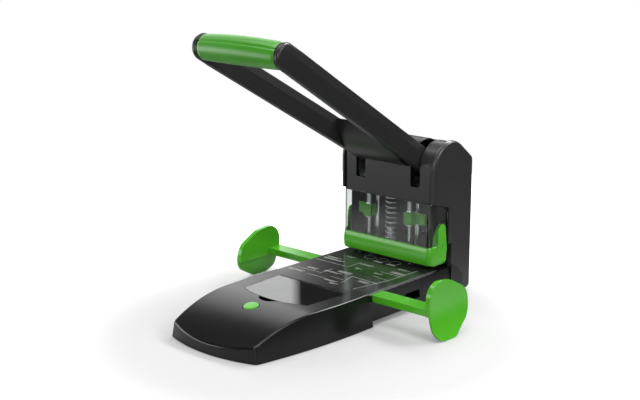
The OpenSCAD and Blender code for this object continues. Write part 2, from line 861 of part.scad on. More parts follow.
module shell(side) {
    throat_top = 150;
    throat_back_z = 139;
    boss_r = 4.5;
    front = arch_y - shell_r;
    color(black) mirror([side < 0 ? 1 : 0, 0, 0]) {
        difference() {
            hull() {
                along_x(shell_x, shell_half - shell_inset) shell_outline(0);
                along_x(shell_half - shell_inset / 3, shell_half - shell_inset / 3 + eps)
                    shell_outline(shell_inset / 3);
                along_x(shell_half - eps, shell_half) shell_outline(shell_inset);
            }
            // hollow behind the outer skin
            intersection() {
                along_x(shell_x - 1, shell_half - 2.6) shell_outline(3);
                along_x(shell_x - 2, shell_half) polygon([[front, throat_top + 3],
                    [side_back + 3, throat_back_z + 3], [side_back + 3, 0], [120, 0],
                    [120, 260], [front, 260]]);
            }
            // throat for the paper guard
            along_x(shell_x - 1, shell_half + 1) polygon([[front - 5, throat_top + 1.3],
                [side_back, throat_back_z], [side_back, 84], [side_back + 3, 84],
                [side_back + 3, 49], [front - 5, 49]]);
            block([shell_x - 1, front - 5, -1], [shell_half + 1, side_back + 3, 50]);
        }
        for (p = [[66, 70], [66, 120]]) translate([0, p[0], p[1]])
            bar_along_x(boss_r, frame_x + frame_t, shell_half - 2.5);
        translate([0, arch_y - 14, arch_z - 14]) bar_along_x(boss_r, tower_half, shell_half - 2.5);
    }
}

module shell_left() {
    shell(-1);
}

module shell_right() {
    shell(1);
}

rear_bosses = [[58, 40], [58, 176]];

module rear_cover() {
    half = shell_x - 0.5;
    top = arch_z + housing_r * cos(rear_slope)
        - (rear_y - arch_y - housing_r * sin(rear_slope)) * tan(rear_slope) + 1;
    color(black) difference() {
        union() {
            block([-half, rear_y - rear_t, plate_z], [half, rear_y, top]);
            for (side = [-1, 1]) for (p = rear_bosses) translate([side * p[0], 0, p[1]])
                bar_along_y(4, rear_y - rear_t - 8, rear_y - 1);
        }
        for (side = [-1, 1]) for (p = rear_bosses) translate([side * p[0], 0, p[1]])
            bar_along_y(1.7 + slip, rear_y - 20, rear_y + 1);
    }
}

module rear_screws() {
    color(steel) for (side = [-1, 1]) for (p = rear_bosses) translate([side * p[0], 0, p[1]]) {
        bar_along_y(3.6, rear_y, rear_y + 2);
        bar_along_y(1.7, rear_y - rear_t - 6, rear_y + 1);
    }
}

module inner_wall() {
    low = table_h + 0.2;
    high = panel_low + 1.5;
    side_low = guard_low + 1.5;
    back_t = 2.5;
    color("#151516") {
        block([-wall_x, wall_back - back_t, low], [wall_x, wall_back, high]);
        block_pair([wall_x - wall_side_t, wall_front, side_low],
            [wall_x, wall_back - back_t + eps, high]);
    }
}

module frame_plate(side) {
    upper_z = panel_low + 4;
    upper_front = 4;
    color(steel) mirror([side < 0 ? 1 : 0, 0, 0]) difference() {
        along_x(frame_x, frame_x + frame_t) intersection() {
            tower_outline(housing_r - tower_wall - 1, upper_front, frame_rear, plate_z);
            polygon([[frame_front, 0], [frame_front, upper_z], [upper_front, upper_z + 20],
                [upper_front, arch_z + 4], [arch_y, 260], [120, 260], [120, 0]]);
        }
        translate(pivot) bar_along_x(shaft_d / 2 + slip, 0, 100);
    }
}

module frame_left() {
    frame_plate(-1);
}

module frame_right() {
    frame_plate(1);
}

module frame_bridge() {
    color(steel) difference() {
        block([-frame_x, paper_margin + 2, bridge_top - bridge_t],
            [frame_x, pivot_back + 12, bridge_top]);
        for (side = [-1, 1]) translate([side * punch_x, rod_back, 0])
            cylinder(r = rod_d / 2 + slip, h = 300);
    }
}

module guide_rod(side) {
    collar = 1.2;
    color("#e4e6e9") translate([side * punch_x, rod_back, 0]) {
        translate([0, 0, rod_foot]) cylinder(r = rod_d / 2, h = bridge_top - rod_foot);
        translate([0, 0, die_top_z]) cylinder(r = rod_d / 2 + collar, h = head_low - stroke - die_top_z - 4);
    }
}

module guide_rod_left() {
    guide_rod(-1);
}

module guide_rod_right() {
    guide_rod(1);
}

module spring_bracket() {
    half = 11.5;
    arm_t0 = 3;
    stub_r = coil_r - wire_r - 1.4;
    top = spring_low - 0.1;
    back = wall_back - 2.6;
    color("#8f9296") {
        block([-half, tongue_y + seat, die_top_z], [half, back, die_top_z + 2.5]);
        block([-half, back - arm_t0, die_top_z], [half, back, top]);
        block([-half, -2, top - arm_t0], [half, back, top]);
        translate([0, spring_back, top - arm_t0]) cylinder(r = half, h = arm_t0);
        translate([0, spring_back, top - eps]) cylinder(r = stub_r, h = 30);
    }
}

module return_spring() {
    color("#d5d8dc") translate([0, spring_back, spring_low])
        coil_tube(coil_r, spring_turns, spring_high - spring_low, spring_wire);
}

// ---------- punch carriage ----------

module crosshead() {
    slot_y0 = roller_y_min - 0.4;
    slot_y1 = rest_roller_y + 0.4;
    slot_r = roller_d / 2 + 0.3;
    color("#2a2b2d") difference() {
        union() {
            block([-head_half, head_front, head_low], [head_half, head_rear, head_top]);
            for (side = [-1, 1]) translate([side * (lug_x[0] + lug_x[1]) / 2, 0, 0])
                along_x(-(lug_x[1] - lug_x[0]) / 2, (lug_x[1] - lug_x[0]) / 2) {
                    translate([slot_y0, rest_roller_z]) circle(r = lug_r);
                    translate([slot_y1, rest_roller_z]) circle(r = lug_r);
                    translate([slot_y0, rest_roller_z - lug_r])
                        square([slot_y1 - slot_y0, 2 * lug_r]);
                    translate([slot_y0 - lug_r + 0.5, head_top - 1])
                        square([slot_y1 - slot_y0 + 2 * lug_r - 1, rest_roller_z - head_top + 1]);
                }
        }
        for (side = [-1, 1]) {
            translate([side * (lug_x[0] + lug_x[1]) / 2, 0, 0]) along_x(-9, 9) {
                translate([slot_y0, rest_roller_z]) circle(r = slot_r);
                translate([slot_y1, rest_roller_z]) circle(r = slot_r);
                translate([slot_y0, rest_roller_z - slot_r]) square([slot_y1 - slot_y0, 2 * slot_r]);
            }
            translate([side * punch_x, 0, head_low - 1]) cylinder(r = holder_r + slip, h = 12);
            translate([side * punch_x, rod_back, 0]) cylinder(r = rod_d / 2 + 1.5, h = 300);
        }
        translate([0, spring_back, head_low - 1]) cylinder(r = coil_r - wire_r - 1, h = 6);
    }
}

module rod_bushes() {
    color("#b08a4a") for (side = [-1, 1]) translate([side * punch_x, rod_back, head_low])
        difference() {
            cylinder(r = rod_d / 2 + 1.45, h = head_h);
            translate([0, 0, -1]) cylinder(r = rod_d / 2 + slip, h = head_h + 2);
        }
}

module punch(side) {
    lip = 0.8;
    color("#eceef0") translate([side * punch_x, 0, 0]) difference() {
        translate([0, 0, tip_z]) cylinder(r = pin_d / 2, h = head_low + 10 - tip_z);
        translate([0, 0, tip_z - eps])
            cylinder(r1 = pin_d / 2 - lip, r2 = 0.2, h = pin_d / 2);
    }
}

module punch_left() {
    punch(-1);
}

module punch_right() {
    punch(1);
}

module punch_holder(side) {
    color("#d9dcdf") translate([side * punch_x, 0, 0]) difference() {
        union() {
            translate([0, 0, latch_low - collar_t - 0.2])
                cylinder(r = holder_r, h = head_low + 10.9 - latch_low + collar_t + 0.2);
            translate([0, 0, latch_low - collar_t - 0.2]) cylinder(r = collar_r, h = collar_t);
            translate([0, 0, latch_low + latch_h + 0.2]) cylinder(r = collar_r, h = collar_t);
        }
        translate([0, 0, latch_low - 10]) cylinder(r = pin_d / 2 + slip, h = head_low + 20.3 - latch_low);
    }
}

module punch_holder_left() {
    punch_holder(-1);
}

module punch_holder_right() {
    punch_holder(1);
}

module latch(side) {
    throat_r = holder_r + 0.3;
    color(green) mirror([side < 0 ? 1 : 0, 0, 0]) translate([punch_x, 0, latch_low]) difference() {
        union() {
            block([-latch_half, -latch_front, 0], [latch_half, latch_front + 2, latch_h]);
            block([latch_half - 1, latch_front - 2, 1], [latch_tail, latch_front + 2, latch_h - 1]);
        }
        translate([0, 0, -1]) cylinder(r = throat_r, h = latch_h + 2);
        block([-latch_half - 1, -throat_r, -1], [0, throat_r, latch_h + 1]);
    }
}

module latch_left() {
    latch(-1);
}

module latch_right() {
    latch(1);
}

// ---------- guard ----------

// Side view of the foot's ends, in (y, z) from its underside
module ear_outline() {
    top = ear_h;
    hull() {
        translate([foot_front + 5, 5]) circle(r = 5, $fn = 32);
        translate([foot_front + 7, guard_foot_h - 9]) circle(r = 7, $fn = 32);
        translate([14, top - 8]) circle(r = 8, $fn = 32);
        translate([21, 24]) circle(r = 5, $fn = 32);
        translate([19, 5]) circle(r = 5, $fn = 32);
    }
}

// Section of the foot's front wall, in (y, z) from its underside
module foot_section() {
    difference() {
        hull() {
            translate([foot_front + 5, 5]) circle(r = 5, $fn = 32);
            translate([foot_front + 3.4, guard_foot_h - 3.4]) circle(r = 3.4, $fn = 32);
            translate([foot_front + 12, 0]) square([8, 3]);
            translate([shield_y + 0.2, 0]) square([0.1, guard_foot_h]);
        }
        translate([shield_y + 0.2, 3]) square([40, guard_foot_h]);
        translate([shield_y - shield_t - 0.1, guard_foot_h - 3]) square([10, 10]);
    }
}

module guard_foot() {
    bracket_half = 14;
    color(green) translate([0, 0, guard_low]) difference() {
        union() {
            along_x(-foot_inner, foot_inner) foot_section();
            along_x(foot_inner - eps, guard_half) ear_outline();
            along_x(-guard_half, -foot_inner + eps) ear_outline();
        }
        for (side = [-1, 1]) translate([side * punch_x, 0, -1]) cylinder(r = 4.6, h = 10);
        block([-bracket_half, -9.5, -1], [bracket_half, 20, 8]);
        // notches for the inner wall's sides
        block_pair([wall_x - wall_side_t - 0.6, wall_front - 0.6, -1], [wall_x + 0.6, 20, 4]);
    }
}

module guard_shield() {
    low = guard_low + guard_foot_h - 2.9;
    round_r = 8;
    rear_top = shield_top - 9;
    color([0.8, 0.84, 0.85, 0.35]) {
        block([-side_x - shield_t, shield_y - shield_t, low], [side_x + shield_t, shield_y, shield_top]);
        for (side = [-1, 1]) mirror([side < 0 ? 1 : 0, 0, 0])
            along_x(side_x, side_x + shield_t) union() {
                polygon([[shield_y + seat, low - 14], [shield_y + seat, low],
                    [shield_y - eps, low], [shield_y - eps, shield_top],
                    [side_back - round_r, rear_top], [side_back - round_r, low - 14]]);
                translate([side_back - round_r - 1, low - 14])
                    square([round_r + 1, rear_top - round_r - low + 14]);
                translate([side_back - round_r, rear_top - round_r]) circle(r = round_r);
            }
    }
}

module guard_rivets() {
    color(steel) for (side = [-1, 1]) mirror([side < 0 ? 1 : 0, 0, 0])
        for (y = [4, 16]) translate([0, y, guard_low + guard_foot_h - 2])
            bar_along_x(2, guard_half, guard_half + 1);
}

// ---------- lever ----------

module arm_root() {
    intersection() {
        translate([-arm_low, -arm_low, arm_x - arm_t / 2])
            cube([splay_s + arm_low, arm_depth, arm_t]);
        union() {
            translate([0, 0, arm_x - arm_t]) cylinder(r = arm_low, h = 2 * arm_t);
            translate([0, -arm_low, arm_x - arm_t]) cube([splay_s, arm_depth, 2 * arm_t]);
        }
    }
}

module arm(side) {
    rim = arm_rim;
    inner = arm_x - arm_t / 2;
    color(black) mirror([side < 0 ? 1 : 0, 0, 0]) on_lever() difference() {
        union() {
            arm_root();
            hull() {
                translate([splay_s - eps, -arm_low + rim, inner]) cube([eps, arm_depth - 2 * rim, arm_t]);
                translate([splay_s - eps, -arm_low, inner + rim]) cube([eps, arm_depth, arm_t - 3 * rim]);
                translate([lever_len, 0, grip_in])
                    cylinder(r = arm_end_r - rim, h = grip_end_t, $fn = 32);
                translate([lever_len, 0, grip_in + rim])
                    cylinder(r = arm_end_r, h = grip_end_t - 2 * rim, $fn = 32);
            }
        }
        // round seat for the end of the grip
        translate([lever_len, 0, 0]) cylinder(r = arm_end_r + 0.3, h = grip_in);
        cylinder(r = shaft_d / 2 + slip, h = 200);
        translate([roller_arm, -roller_drop, 0])
            cylinder(r = roller_d / 2 + slip, h = arm_x + roller_seat + slip);
    }
}

module arm_left() {
    arm(-1);
}

module arm_right() {
    arm(1);
}

// Curved cover between the arms in front of the tower: a hollow nose
module lever_bridge() {
    nose_s = 76;
    nose_t = 52;
    nose_r = 72.8;
    back_s = 58.5;
    top_t = 14;
    wall = 3;
    inner = arm_x - arm_t / 2 - 0.05;
    far_s = 150;
    color(black) on_lever() intersection() {
        translate([0, 0, -100]) linear_extrude(200) difference() {
            intersection() {
                translate([nose_s, nose_t]) circle(r = nose_r, $fn = 180);
                translate([back_s, -40]) square([100, 40 + top_t]);
            }
            intersection() {
                translate([nose_s, nose_t]) circle(r = nose_r - wall, $fn = 180);
                translate([back_s + wall, -40]) square([100, 40 + top_t - wall]);
            }
        }
        rotate([90, 0, 0]) translate([0, 0, -100]) linear_extrude(200) polygon([
            [0, -inner], [splay_s, -inner], [far_s, -inner - (far_s - splay_s) * splay],
            [far_s, inner + (far_s - splay_s) * splay], [splay_s, inner], [0, inner]]);
    }
}

module grip_tube() {
    color(steel) on_lever() translate([lever_len, 0, -grip_in]) difference() {
        cylinder(r = tube_r, h = 2 * grip_in);
        translate([0, 0, -1]) cylinder(r = tube_r - 2, h = 2 * grip_in + 2);
    }
}

module grip_sleeve() {
    waist = 0.8;
    steps = 6;
    belly = [for (i = [-steps:steps])
        [grip_d / 2 - waist * pow(i / steps, 2), grip_half * i / steps]];
    color(green) on_lever() translate([lever_len, 0, 0]) rotate_extrude()
        polygon(concat(belly, [[tube_r + 0.1, grip_half], [tube_r + 0.1, -grip_half]]));
}

module grip_collars() {
    collar_w = grip_in - grip_half - 0.2;
    color("#0c0c0d") on_lever() translate([lever_len, 0, 0]) for (side = [-1, 1])
        translate([0, 0, side * (grip_half + 0.1 + collar_w / 2) - collar_w / 2]) difference() {
            cylinder(r = grip_d / 2 - 0.8, h = collar_w);
            translate([0, 0, -1]) cylinder(r = tube_r + 0.1, h = collar_w + 2);
        }
}

module rollers() {
    color("#e4e6e9") on_lever() for (side = [-1, 1]) mirror([0, 0, side < 0 ? 1 : 0])
        translate([roller_arm, -roller_drop, lug_x[0] - 1.5])
            cylinder(r = roller_d / 2, h = arm_x + roller_seat - lug_x[0] + 1.5);
}

module pivot_shaft() {
    color(steel) translate(pivot)
        bar_along_x(shaft_d / 2, -frame_x - frame_t - 3, frame_x + frame_t + 3);
}

module shaft_clips() {
    color("#3a3c3f") translate(pivot) for (side = [-1, 1]) mirror([side < 0 ? 1 : 0, 0, 0])
        difference() {
            bar_along_x(shaft_d / 2 + 3, frame_x + frame_t + 0.1, frame_x + frame_t + 1.4);
            bar_along_x(shaft_d / 2 + slip, frame_x, frame_x + frame_t + 2);
        }
}

module pivot_washers() {
    color("#d8d3c0") translate(pivot) for (side = [-1, 1]) mirror([side < 0 ? 1 : 0, 0, 0])
        difference() {
            bar_along_x(shaft_d / 2 + 4, arm_x + arm_t / 2 + 0.3, frame_x - 0.1);
            bar_along_x(shaft_d / 2 + slip, arm_x, frame_x + 1);
        }
}

base_plate();
front_feet();
rear_pad();
front_cover();
storage_tray();
storage_lid();
lid_pin();
label_card();
release_button();
button_spring();
table_plate();
rear_housing();
guide_channel();
guide_bar_left();
guide_bar_right();
paddle_left();
paddle_right();
chip_drawer();
die_plate();
die_bushes();
paper_stop();
frame_left();
frame_right();
frame_bridge();
guide_rod_left();
guide_rod_right();
spring_bracket();
return_spring();
crosshead();
rod_bushes();
punch_left();
punch_right();
punch_holder_left();
punch_holder_right();
latch_left();
latch_right();
guard_shield();
guard_foot();
guard_rivets();
inner_wall();
center_housing();
shell_left();
shell_right();
rear_cover();
pivot_shaft();
shaft_clips();
pivot_washers();
arm_left();
arm_right();
lever_bridge();
grip_tube();
grip_sleeve();
grip_collars();
rollers();
rear_screws();
base_screws();
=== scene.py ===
"""Dresses a desk lever punch: eased mouldings, lever arms, springs, print and finishes.

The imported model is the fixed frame. Sizes here are in metres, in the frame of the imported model:
+X is right, the operator's side is -Y, +Z is up and z = 0 is the desk.
"""
import json
import math

import bmesh
import bpy
from mathutils import Matrix, Vector


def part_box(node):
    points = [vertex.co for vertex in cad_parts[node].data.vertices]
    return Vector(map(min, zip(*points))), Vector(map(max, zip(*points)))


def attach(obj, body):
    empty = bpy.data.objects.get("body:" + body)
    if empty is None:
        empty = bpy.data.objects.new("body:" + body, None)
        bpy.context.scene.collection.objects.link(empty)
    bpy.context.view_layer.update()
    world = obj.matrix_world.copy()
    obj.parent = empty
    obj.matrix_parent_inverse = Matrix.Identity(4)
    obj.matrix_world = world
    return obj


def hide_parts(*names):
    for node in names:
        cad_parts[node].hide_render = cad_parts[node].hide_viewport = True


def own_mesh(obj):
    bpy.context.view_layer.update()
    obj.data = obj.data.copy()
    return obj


bl_info = {
    "name": "Desk lever punch",
    "version": (1, 0, 0),
    "blender": (4, 5, 0),
    "location": "View3D > Sidebar > Punch",
    "description": "Builds the visible pieces and finishes of a desk lever punch",
    "category": "Add Mesh",
}

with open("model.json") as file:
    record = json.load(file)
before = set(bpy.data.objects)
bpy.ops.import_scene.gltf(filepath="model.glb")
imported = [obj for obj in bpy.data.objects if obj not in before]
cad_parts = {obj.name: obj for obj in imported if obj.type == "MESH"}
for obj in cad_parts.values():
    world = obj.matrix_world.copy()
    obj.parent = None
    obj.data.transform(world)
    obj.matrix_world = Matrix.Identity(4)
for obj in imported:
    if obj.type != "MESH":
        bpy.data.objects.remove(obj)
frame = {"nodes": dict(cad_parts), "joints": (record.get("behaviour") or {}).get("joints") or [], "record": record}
NODES = frame["nodes"]
BODY_OF = {n: b for b, ns in frame["record"]["behaviour"]["bodies"].items() for n in ns}
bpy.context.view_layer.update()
MM = 0.001
JOINTS = {j["name"]: j for j in frame["joints"]}
LEVER = JOINTS["lever_hinge"]
CARRIAGE = JOINTS["carriage_slide"]
BUTTON = JOINTS["button_slide"]
PIVOT = Vector(LEVER["pos_m"])
REST_ANGLE = math.radians(LEVER["range_deg"][1])
SMOOTH_LIMIT = math.radians(38)     # a sharper fold than this shows as an edge
FLAT_LIMIT = math.radians(0.3)      # faces that fold less than this are one face
MERGE = 1e-6                        # vertices closer than this, in metres, are one


# ---------- sizes and colours a user would change ----------

class PunchSizes(bpy.types.PropertyGroup):
    """Sizes of the finish work, in metres"""
    cover_edge: bpy.props.FloatProperty(
        name="Cover edge", description="Radius along the base mouldings' edges",
        default=2.0 * MM, unit="LENGTH")
    tower_edge: bpy.props.FloatProperty(
        name="Tower edge", description="Radius along the tower mouldings' edges",
        default=0.7 * MM, unit="LENGTH")
    green_edge: bpy.props.FloatProperty(
        name="Green edge", description="Radius along the green mouldings' edges",
        default=0.9 * MM, unit="LENGTH")
    sheet_edge: bpy.props.FloatProperty(
        name="Sheet edge", description="Radius along the steel sheets' edges",
        default=0.25 * MM, unit="LENGTH")
    arm_edge: bpy.props.FloatProperty(
        name="Arm edge", description="Radius along the lever arms' edges",
        default=1.9 * MM, unit="LENGTH")
    arm_crease: bpy.props.FloatProperty(
        name="Arm crease", description="How far the arms' faces lean in above their crease",
        default=2.4 * MM, unit="LENGTH")
    shell_edge: bpy.props.FloatProperty(
        name="Shell edge", description="Depth of the rounding round the side shells' faces",
        default=6 * MM, unit="LENGTH")
    rack_pitch: bpy.props.FloatProperty(
        name="Rack pitch", description="Spacing of the teeth along each guide bar",
        default=3 * MM, unit="LENGTH")
    print_height: bpy.props.FloatProperty(
        name="Print height", description="Thickness of the screen print on the table",
        default=0.06 * MM, unit="LENGTH")


class PunchColours(bpy.types.PropertyGroup):
    """Colours of the finishes, as sRGB hex values"""
    black: bpy.props.StringProperty(
        name="Black moulding", description="Satin black ABS", default="0D0D0E")
    textured: bpy.props.StringProperty(
        name="Textured black", description="Spark-textured black ABS", default="272728")
    green: bpy.props.StringProperty(
        name="Green moulding", description="Gloss green ABS", default="44981F")
    grip: bpy.props.StringProperty(
        name="Green grip", description="Soft-touch green sleeve", default="388419")
    table: bpy.props.StringProperty(
        name="Table", description="Powder-coated steel table", default="1E201E")
    steel: bpy.props.StringProperty(
        name="Steel", description="Bright and plated steel", default="C9CCD0")


# ---------- helpers ----------

def linear(hex_text):
    """An sRGB hex value as a linear colour with alpha."""
    shares = [int(hex_text[i:i + 2], 16) / 255 for i in (0, 2, 4)]
    return [c / 12.92 if c <= 0.04045 else ((c + 0.055) / 1.055) ** 2.4 for c in shares] + [1.0]


def add(tree, kind, inputs=None, **settings):
    """Adds a node to a tree, with its settings, and its inputs' values or links."""
    made = tree.nodes.new(kind)
    for key, value in settings.items():
        setattr(made, key, value)
    for key, value in (inputs or {}).items():
        if isinstance(value, bpy.types.NodeSocket):
            tree.links.new(value, made.inputs[key])
        else:
            made.inputs[key].default_value = value
    return made


def emptied(owner):
    """The node tree of a material or a world, with nothing in it."""
    owner.use_nodes = True
    owner.node_tree.nodes.clear()
    return owner.node_tree


def sizes():
    return bpy.context.scene.punch_sizes


def colours():
    return bpy.context.scene.punch_colours


def soften(bm):
    """Shades a mesh smooth, with an edge wherever it folds sharply."""
    for face in bm.faces:
        face.smooth = True
    for edge in bm.edges:
        edge.smooth = not (edge.is_manifold and edge.calc_face_angle(0.0) > SMOOTH_LIMIT)


def piece_from(bm, name):
    """Makes an object at the origin from a bmesh, and frees the bmesh."""
    mesh = bpy.data.meshes.new(name)
    bm.to_mesh(mesh)
    bm.free()
    made = bpy.data.objects.new(name, mesh)
    bpy.context.scene.collection.objects.link(made)
    return made


def baked(made):
    """Applies the object's modifiers, by way of the evaluated object."""
    graph = bpy.context.evaluated_depsgraph_get()
    graph.update()
    mesh = bpy.data.meshes.new_from_object(made.evaluated_get(graph))
    made.modifiers.clear()
    old = made.data
    made.data = mesh
    bpy.data.meshes.remove(old)
    return made


def weighted(made):
    """Keeps large faces flat in the shading beside their rounded edges."""
    modifier = made.modifiers.new("Weighted", "WEIGHTED_NORMAL")
    modifier.mode = "FACE_AREA"
    modifier.keep_sharp = True
    return baked(made)


def settle(made, node, label):
    """Gives a piece its finish, and lets it stand for a node and ride on that node's body."""
    made.data.materials.clear()
    made.data.materials.append(finish(label))
    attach(made, BODY_OF[node])
    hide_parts(node)
    return made


def merged_copy(node):
    """A node's mesh with its loose triangles joined, and its flat faces made whole."""
    bm = bmesh.new()
    bm.from_mesh(NODES[node].data)
    bmesh.ops.remove_doubles(bm, verts=bm.verts, dist=MERGE)
    bmesh.ops.dissolve_limit(bm, angle_limit=FLAT_LIMIT, verts=bm.verts, edges=bm.edges)
    return bm


def folded_edges(bm, fold, chosen=None):
    """The edges that fold more sharply than an angle in degrees, and that a test picks."""
    limit = math.radians(fold)
    return [e for e in bm.edges if e.is_manifold and e.calc_face_angle(0.0) > limit
            and (chosen is None or chosen(e))]


def rounded(bm, edges, radius, steps):
    """Rounds edges of a mesh to a radius."""
    bmesh.ops.bevel(bm, geom=edges, offset=radius, offset_type="OFFSET", segments=steps,
                    profile=0.5, affect="EDGES", clamp_overlap=True)


def eased_shape(node, name, radius, steps=2, fold=28):
    """A copy of a node, with edges rounded where it folds by more than an angle in degrees."""
    bm = merged_copy(node)
    rounded(bm, folded_edges(bm, fold), radius, steps)
    soften(bm)
    return weighted(piece_from(bm, name))


def eased(node, name, radius, label, **how):
    """Stands for a node with the same shape, its edges rounded to a radius."""
    return settle(eased_shape(node, name, radius, **how), node, label)


def carve(made, cutter, operation="DIFFERENCE"):
    """Cuts one object's shape out of another, or keeps what they share."""
    modifier = made.modifiers.new("Carve", "BOOLEAN")
    modifier.operation = operation
    modifier.solver = "EXACT"
    modifier.object = cutter
    baked(made)
    bpy.data.objects.remove(cutter)
    return made


def prism(outline, start, end, axis=0):
    """A closed solid from an outline in the other two axes, carried along one axis."""
    bm = bmesh.new()

    def placed(point, along):
        coords = list(point)
        coords.insert(axis, along)
        return coords

    near = [bm.verts.new(placed(point, start)) for point in outline]
    far = [bm.verts.new(placed(point, end)) for point in outline]
    bm.faces.new(near)
    bm.faces.new(far[::-1])
    for i in range(len(outline)):
        j = (i + 1) % len(outline)
        bm.faces.new((near[j], near[i], far[i], far[j]))
    bmesh.ops.recalc_face_normals(bm, faces=bm.faces)
    return bm


def band(bm, a, b):
    """Joins two closed rings of vertices with quads."""
    for i in range(len(a)):
        j = (i + 1) % len(a)
        bm.faces.new((a[i], a[j], b[j], b[i]))


def stacked(rings, close_first=True, close_last=True):
    """Skins rings of points of equal length, with a face over each end."""
    bm = bmesh.new()
    rows = [[bm.verts.new(p) for p in ring] for ring in rings]
    for a, b in zip(rows, rows[1:]):
        band(bm, a, b)
    if close_first:
        bm.faces.new(rows[0])
    if close_last:
        bm.faces.new(rows[-1][::-1])
    bmesh.ops.recalc_face_normals(bm, faces=bm.faces)
    return bm


def drum(centre, radius, low, high, count=64):
    """A round cutter that stands on end."""
    angles = [2 * math.pi * i / count for i in range(count)]
    rings = [[(centre[0] + radius * math.cos(a), centre[1] + radius * math.sin(a), z)
              for a in angles] for z in (low, high)]
    return piece_from(stacked(rings), "Drum_cutter")


def reshaded(made):
    """Shades a carved piece again, with crisp folds."""
    bm = bmesh.new()
    bm.from_mesh(made.data)
    bmesh.ops.remove_doubles(bm, verts=bm.verts, dist=MERGE)
    bmesh.ops.dissolve_degenerate(bm, edges=bm.edges, dist=MERGE)
    soften(bm)
    bm.to_mesh(made.data)
    bm.free()
    return weighted(made)


def mirrored(bm):
    """The same mesh on the other side of the centre plane, facing outwards."""
    bmesh.ops.transform(bm, matrix=Matrix.Scale(-1, 4, (1, 0, 0)), verts=bm.verts)
    bmesh.ops.recalc_face_normals(bm, faces=bm.faces)
    return bm


def quarter(steps):
    """Round a quarter turn of radius 1: how far it lies in from the one face and the other."""
    angles = [math.pi / (2 * steps) * k for k in range(steps + 1)]
    return [(1 - math.cos(a), 1 - math.sin(a)) for a in angles]


# ---------- materials ----------

CLOUD = 45 * MM                     # grain of the slow changes in tone
NOISE_CORE = (0.3, 0.7)             # range that holds nearly all of a noise's values


def surface(name, colour, roughness, grain, bump, metallic=0.0, specular=0.5, mottle=0.06,
            spread=0.06, stretch=(1, 1, 1)):
    """A solid finish: grain of a real size in mm sets its bump, gloss and tone."""
    made = bpy.data.materials.new(name)
    tree = emptied(made)
    place = add(tree, "ShaderNodeTexCoord").outputs["Object"]
    turned = add(tree, "ShaderNodeMapping", {"Vector": place, "Scale": stretch})
    fine = add(tree, "ShaderNodeTexNoise",
               {"Vector": turned.outputs["Vector"], "Scale": 1 / (grain * MM), "Detail": 3.0,
                "Roughness": 0.6}).outputs["Fac"]
    broad = add(tree, "ShaderNodeTexNoise",
                {"Vector": place, "Scale": 1 / CLOUD, "Detail": 2.0}).outputs["Fac"]
    tone = add(tree, "ShaderNodeMapRange",
               {"Value": broad, "From Min": NOISE_CORE[0], "From Max": NOISE_CORE[1],
                "To Min": 1 - mottle, "To Max": 1 + mottle}).outputs["Result"]
    grey = add(tree, "ShaderNodeCombineColor", {"Red": tone, "Green": tone, "Blue": tone})
    tinted = add(tree, "ShaderNodeMix",
                 {6: linear(colour), 7: grey.outputs["Color"], "Factor": 1.0},
                 data_type="RGBA", blend_type="MULTIPLY")
    gloss = add(tree, "ShaderNodeMapRange",
                {"Value": fine, "From Min": NOISE_CORE[0], "From Max": NOISE_CORE[1],
                 "To Min": roughness - spread, "To Max": roughness + spread})
    relief = add(tree, "ShaderNodeBump",
                 {"Height": fine, "Distance": bump * MM, "Strength": 0.6})
    shader = add(tree, "ShaderNodeBsdfPrincipled",
                 {"Base Color": tinted.outputs[2], "Roughness": gloss.outputs["Result"],
                  "Normal": relief.outputs["Normal"], "Metallic": metallic,
                  "Specular IOR Level": specular})
    add(tree, "ShaderNodeOutputMaterial", {"Surface": shader.outputs["BSDF"]})
    return made


def clear(name, colour, roughness, ripple, ior=1.49, specular=0.5):
    """A clear moulding, whose faces ripple a little where the melt flowed."""
    made = bpy.data.materials.new(name)
    tree = emptied(made)
    place = add(tree, "ShaderNodeTexCoord").outputs["Object"]
    flow = add(tree, "ShaderNodeTexNoise",
               {"Vector": place, "Scale": 1 / (30 * MM), "Detail": 1.0})
    haze = add(tree, "ShaderNodeTexNoise",
               {"Vector": place, "Scale": 1 / (1.2 * MM), "Detail": 2.0})
    gloss = add(tree, "ShaderNodeMapRange",
                {"Value": haze.outputs["Fac"], "To Min": roughness * 0.5,
                 "To Max": roughness * 1.5})
    relief = add(tree, "ShaderNodeBump",
                 {"Height": flow.outputs["Fac"], "Distance": ripple * MM, "Strength": 0.5})
    shader = add(tree, "ShaderNodeBsdfPrincipled",
                 {"Base Color": linear(colour), "Roughness": gloss.outputs["Result"],
                  "Normal": relief.outputs["Normal"], "Transmission Weight": 1.0,
                  "IOR": ior, "Specular IOR Level": specular})
    add(tree, "ShaderNodeOutputMaterial", {"Surface": shader.outputs["BSDF"]})
    return made


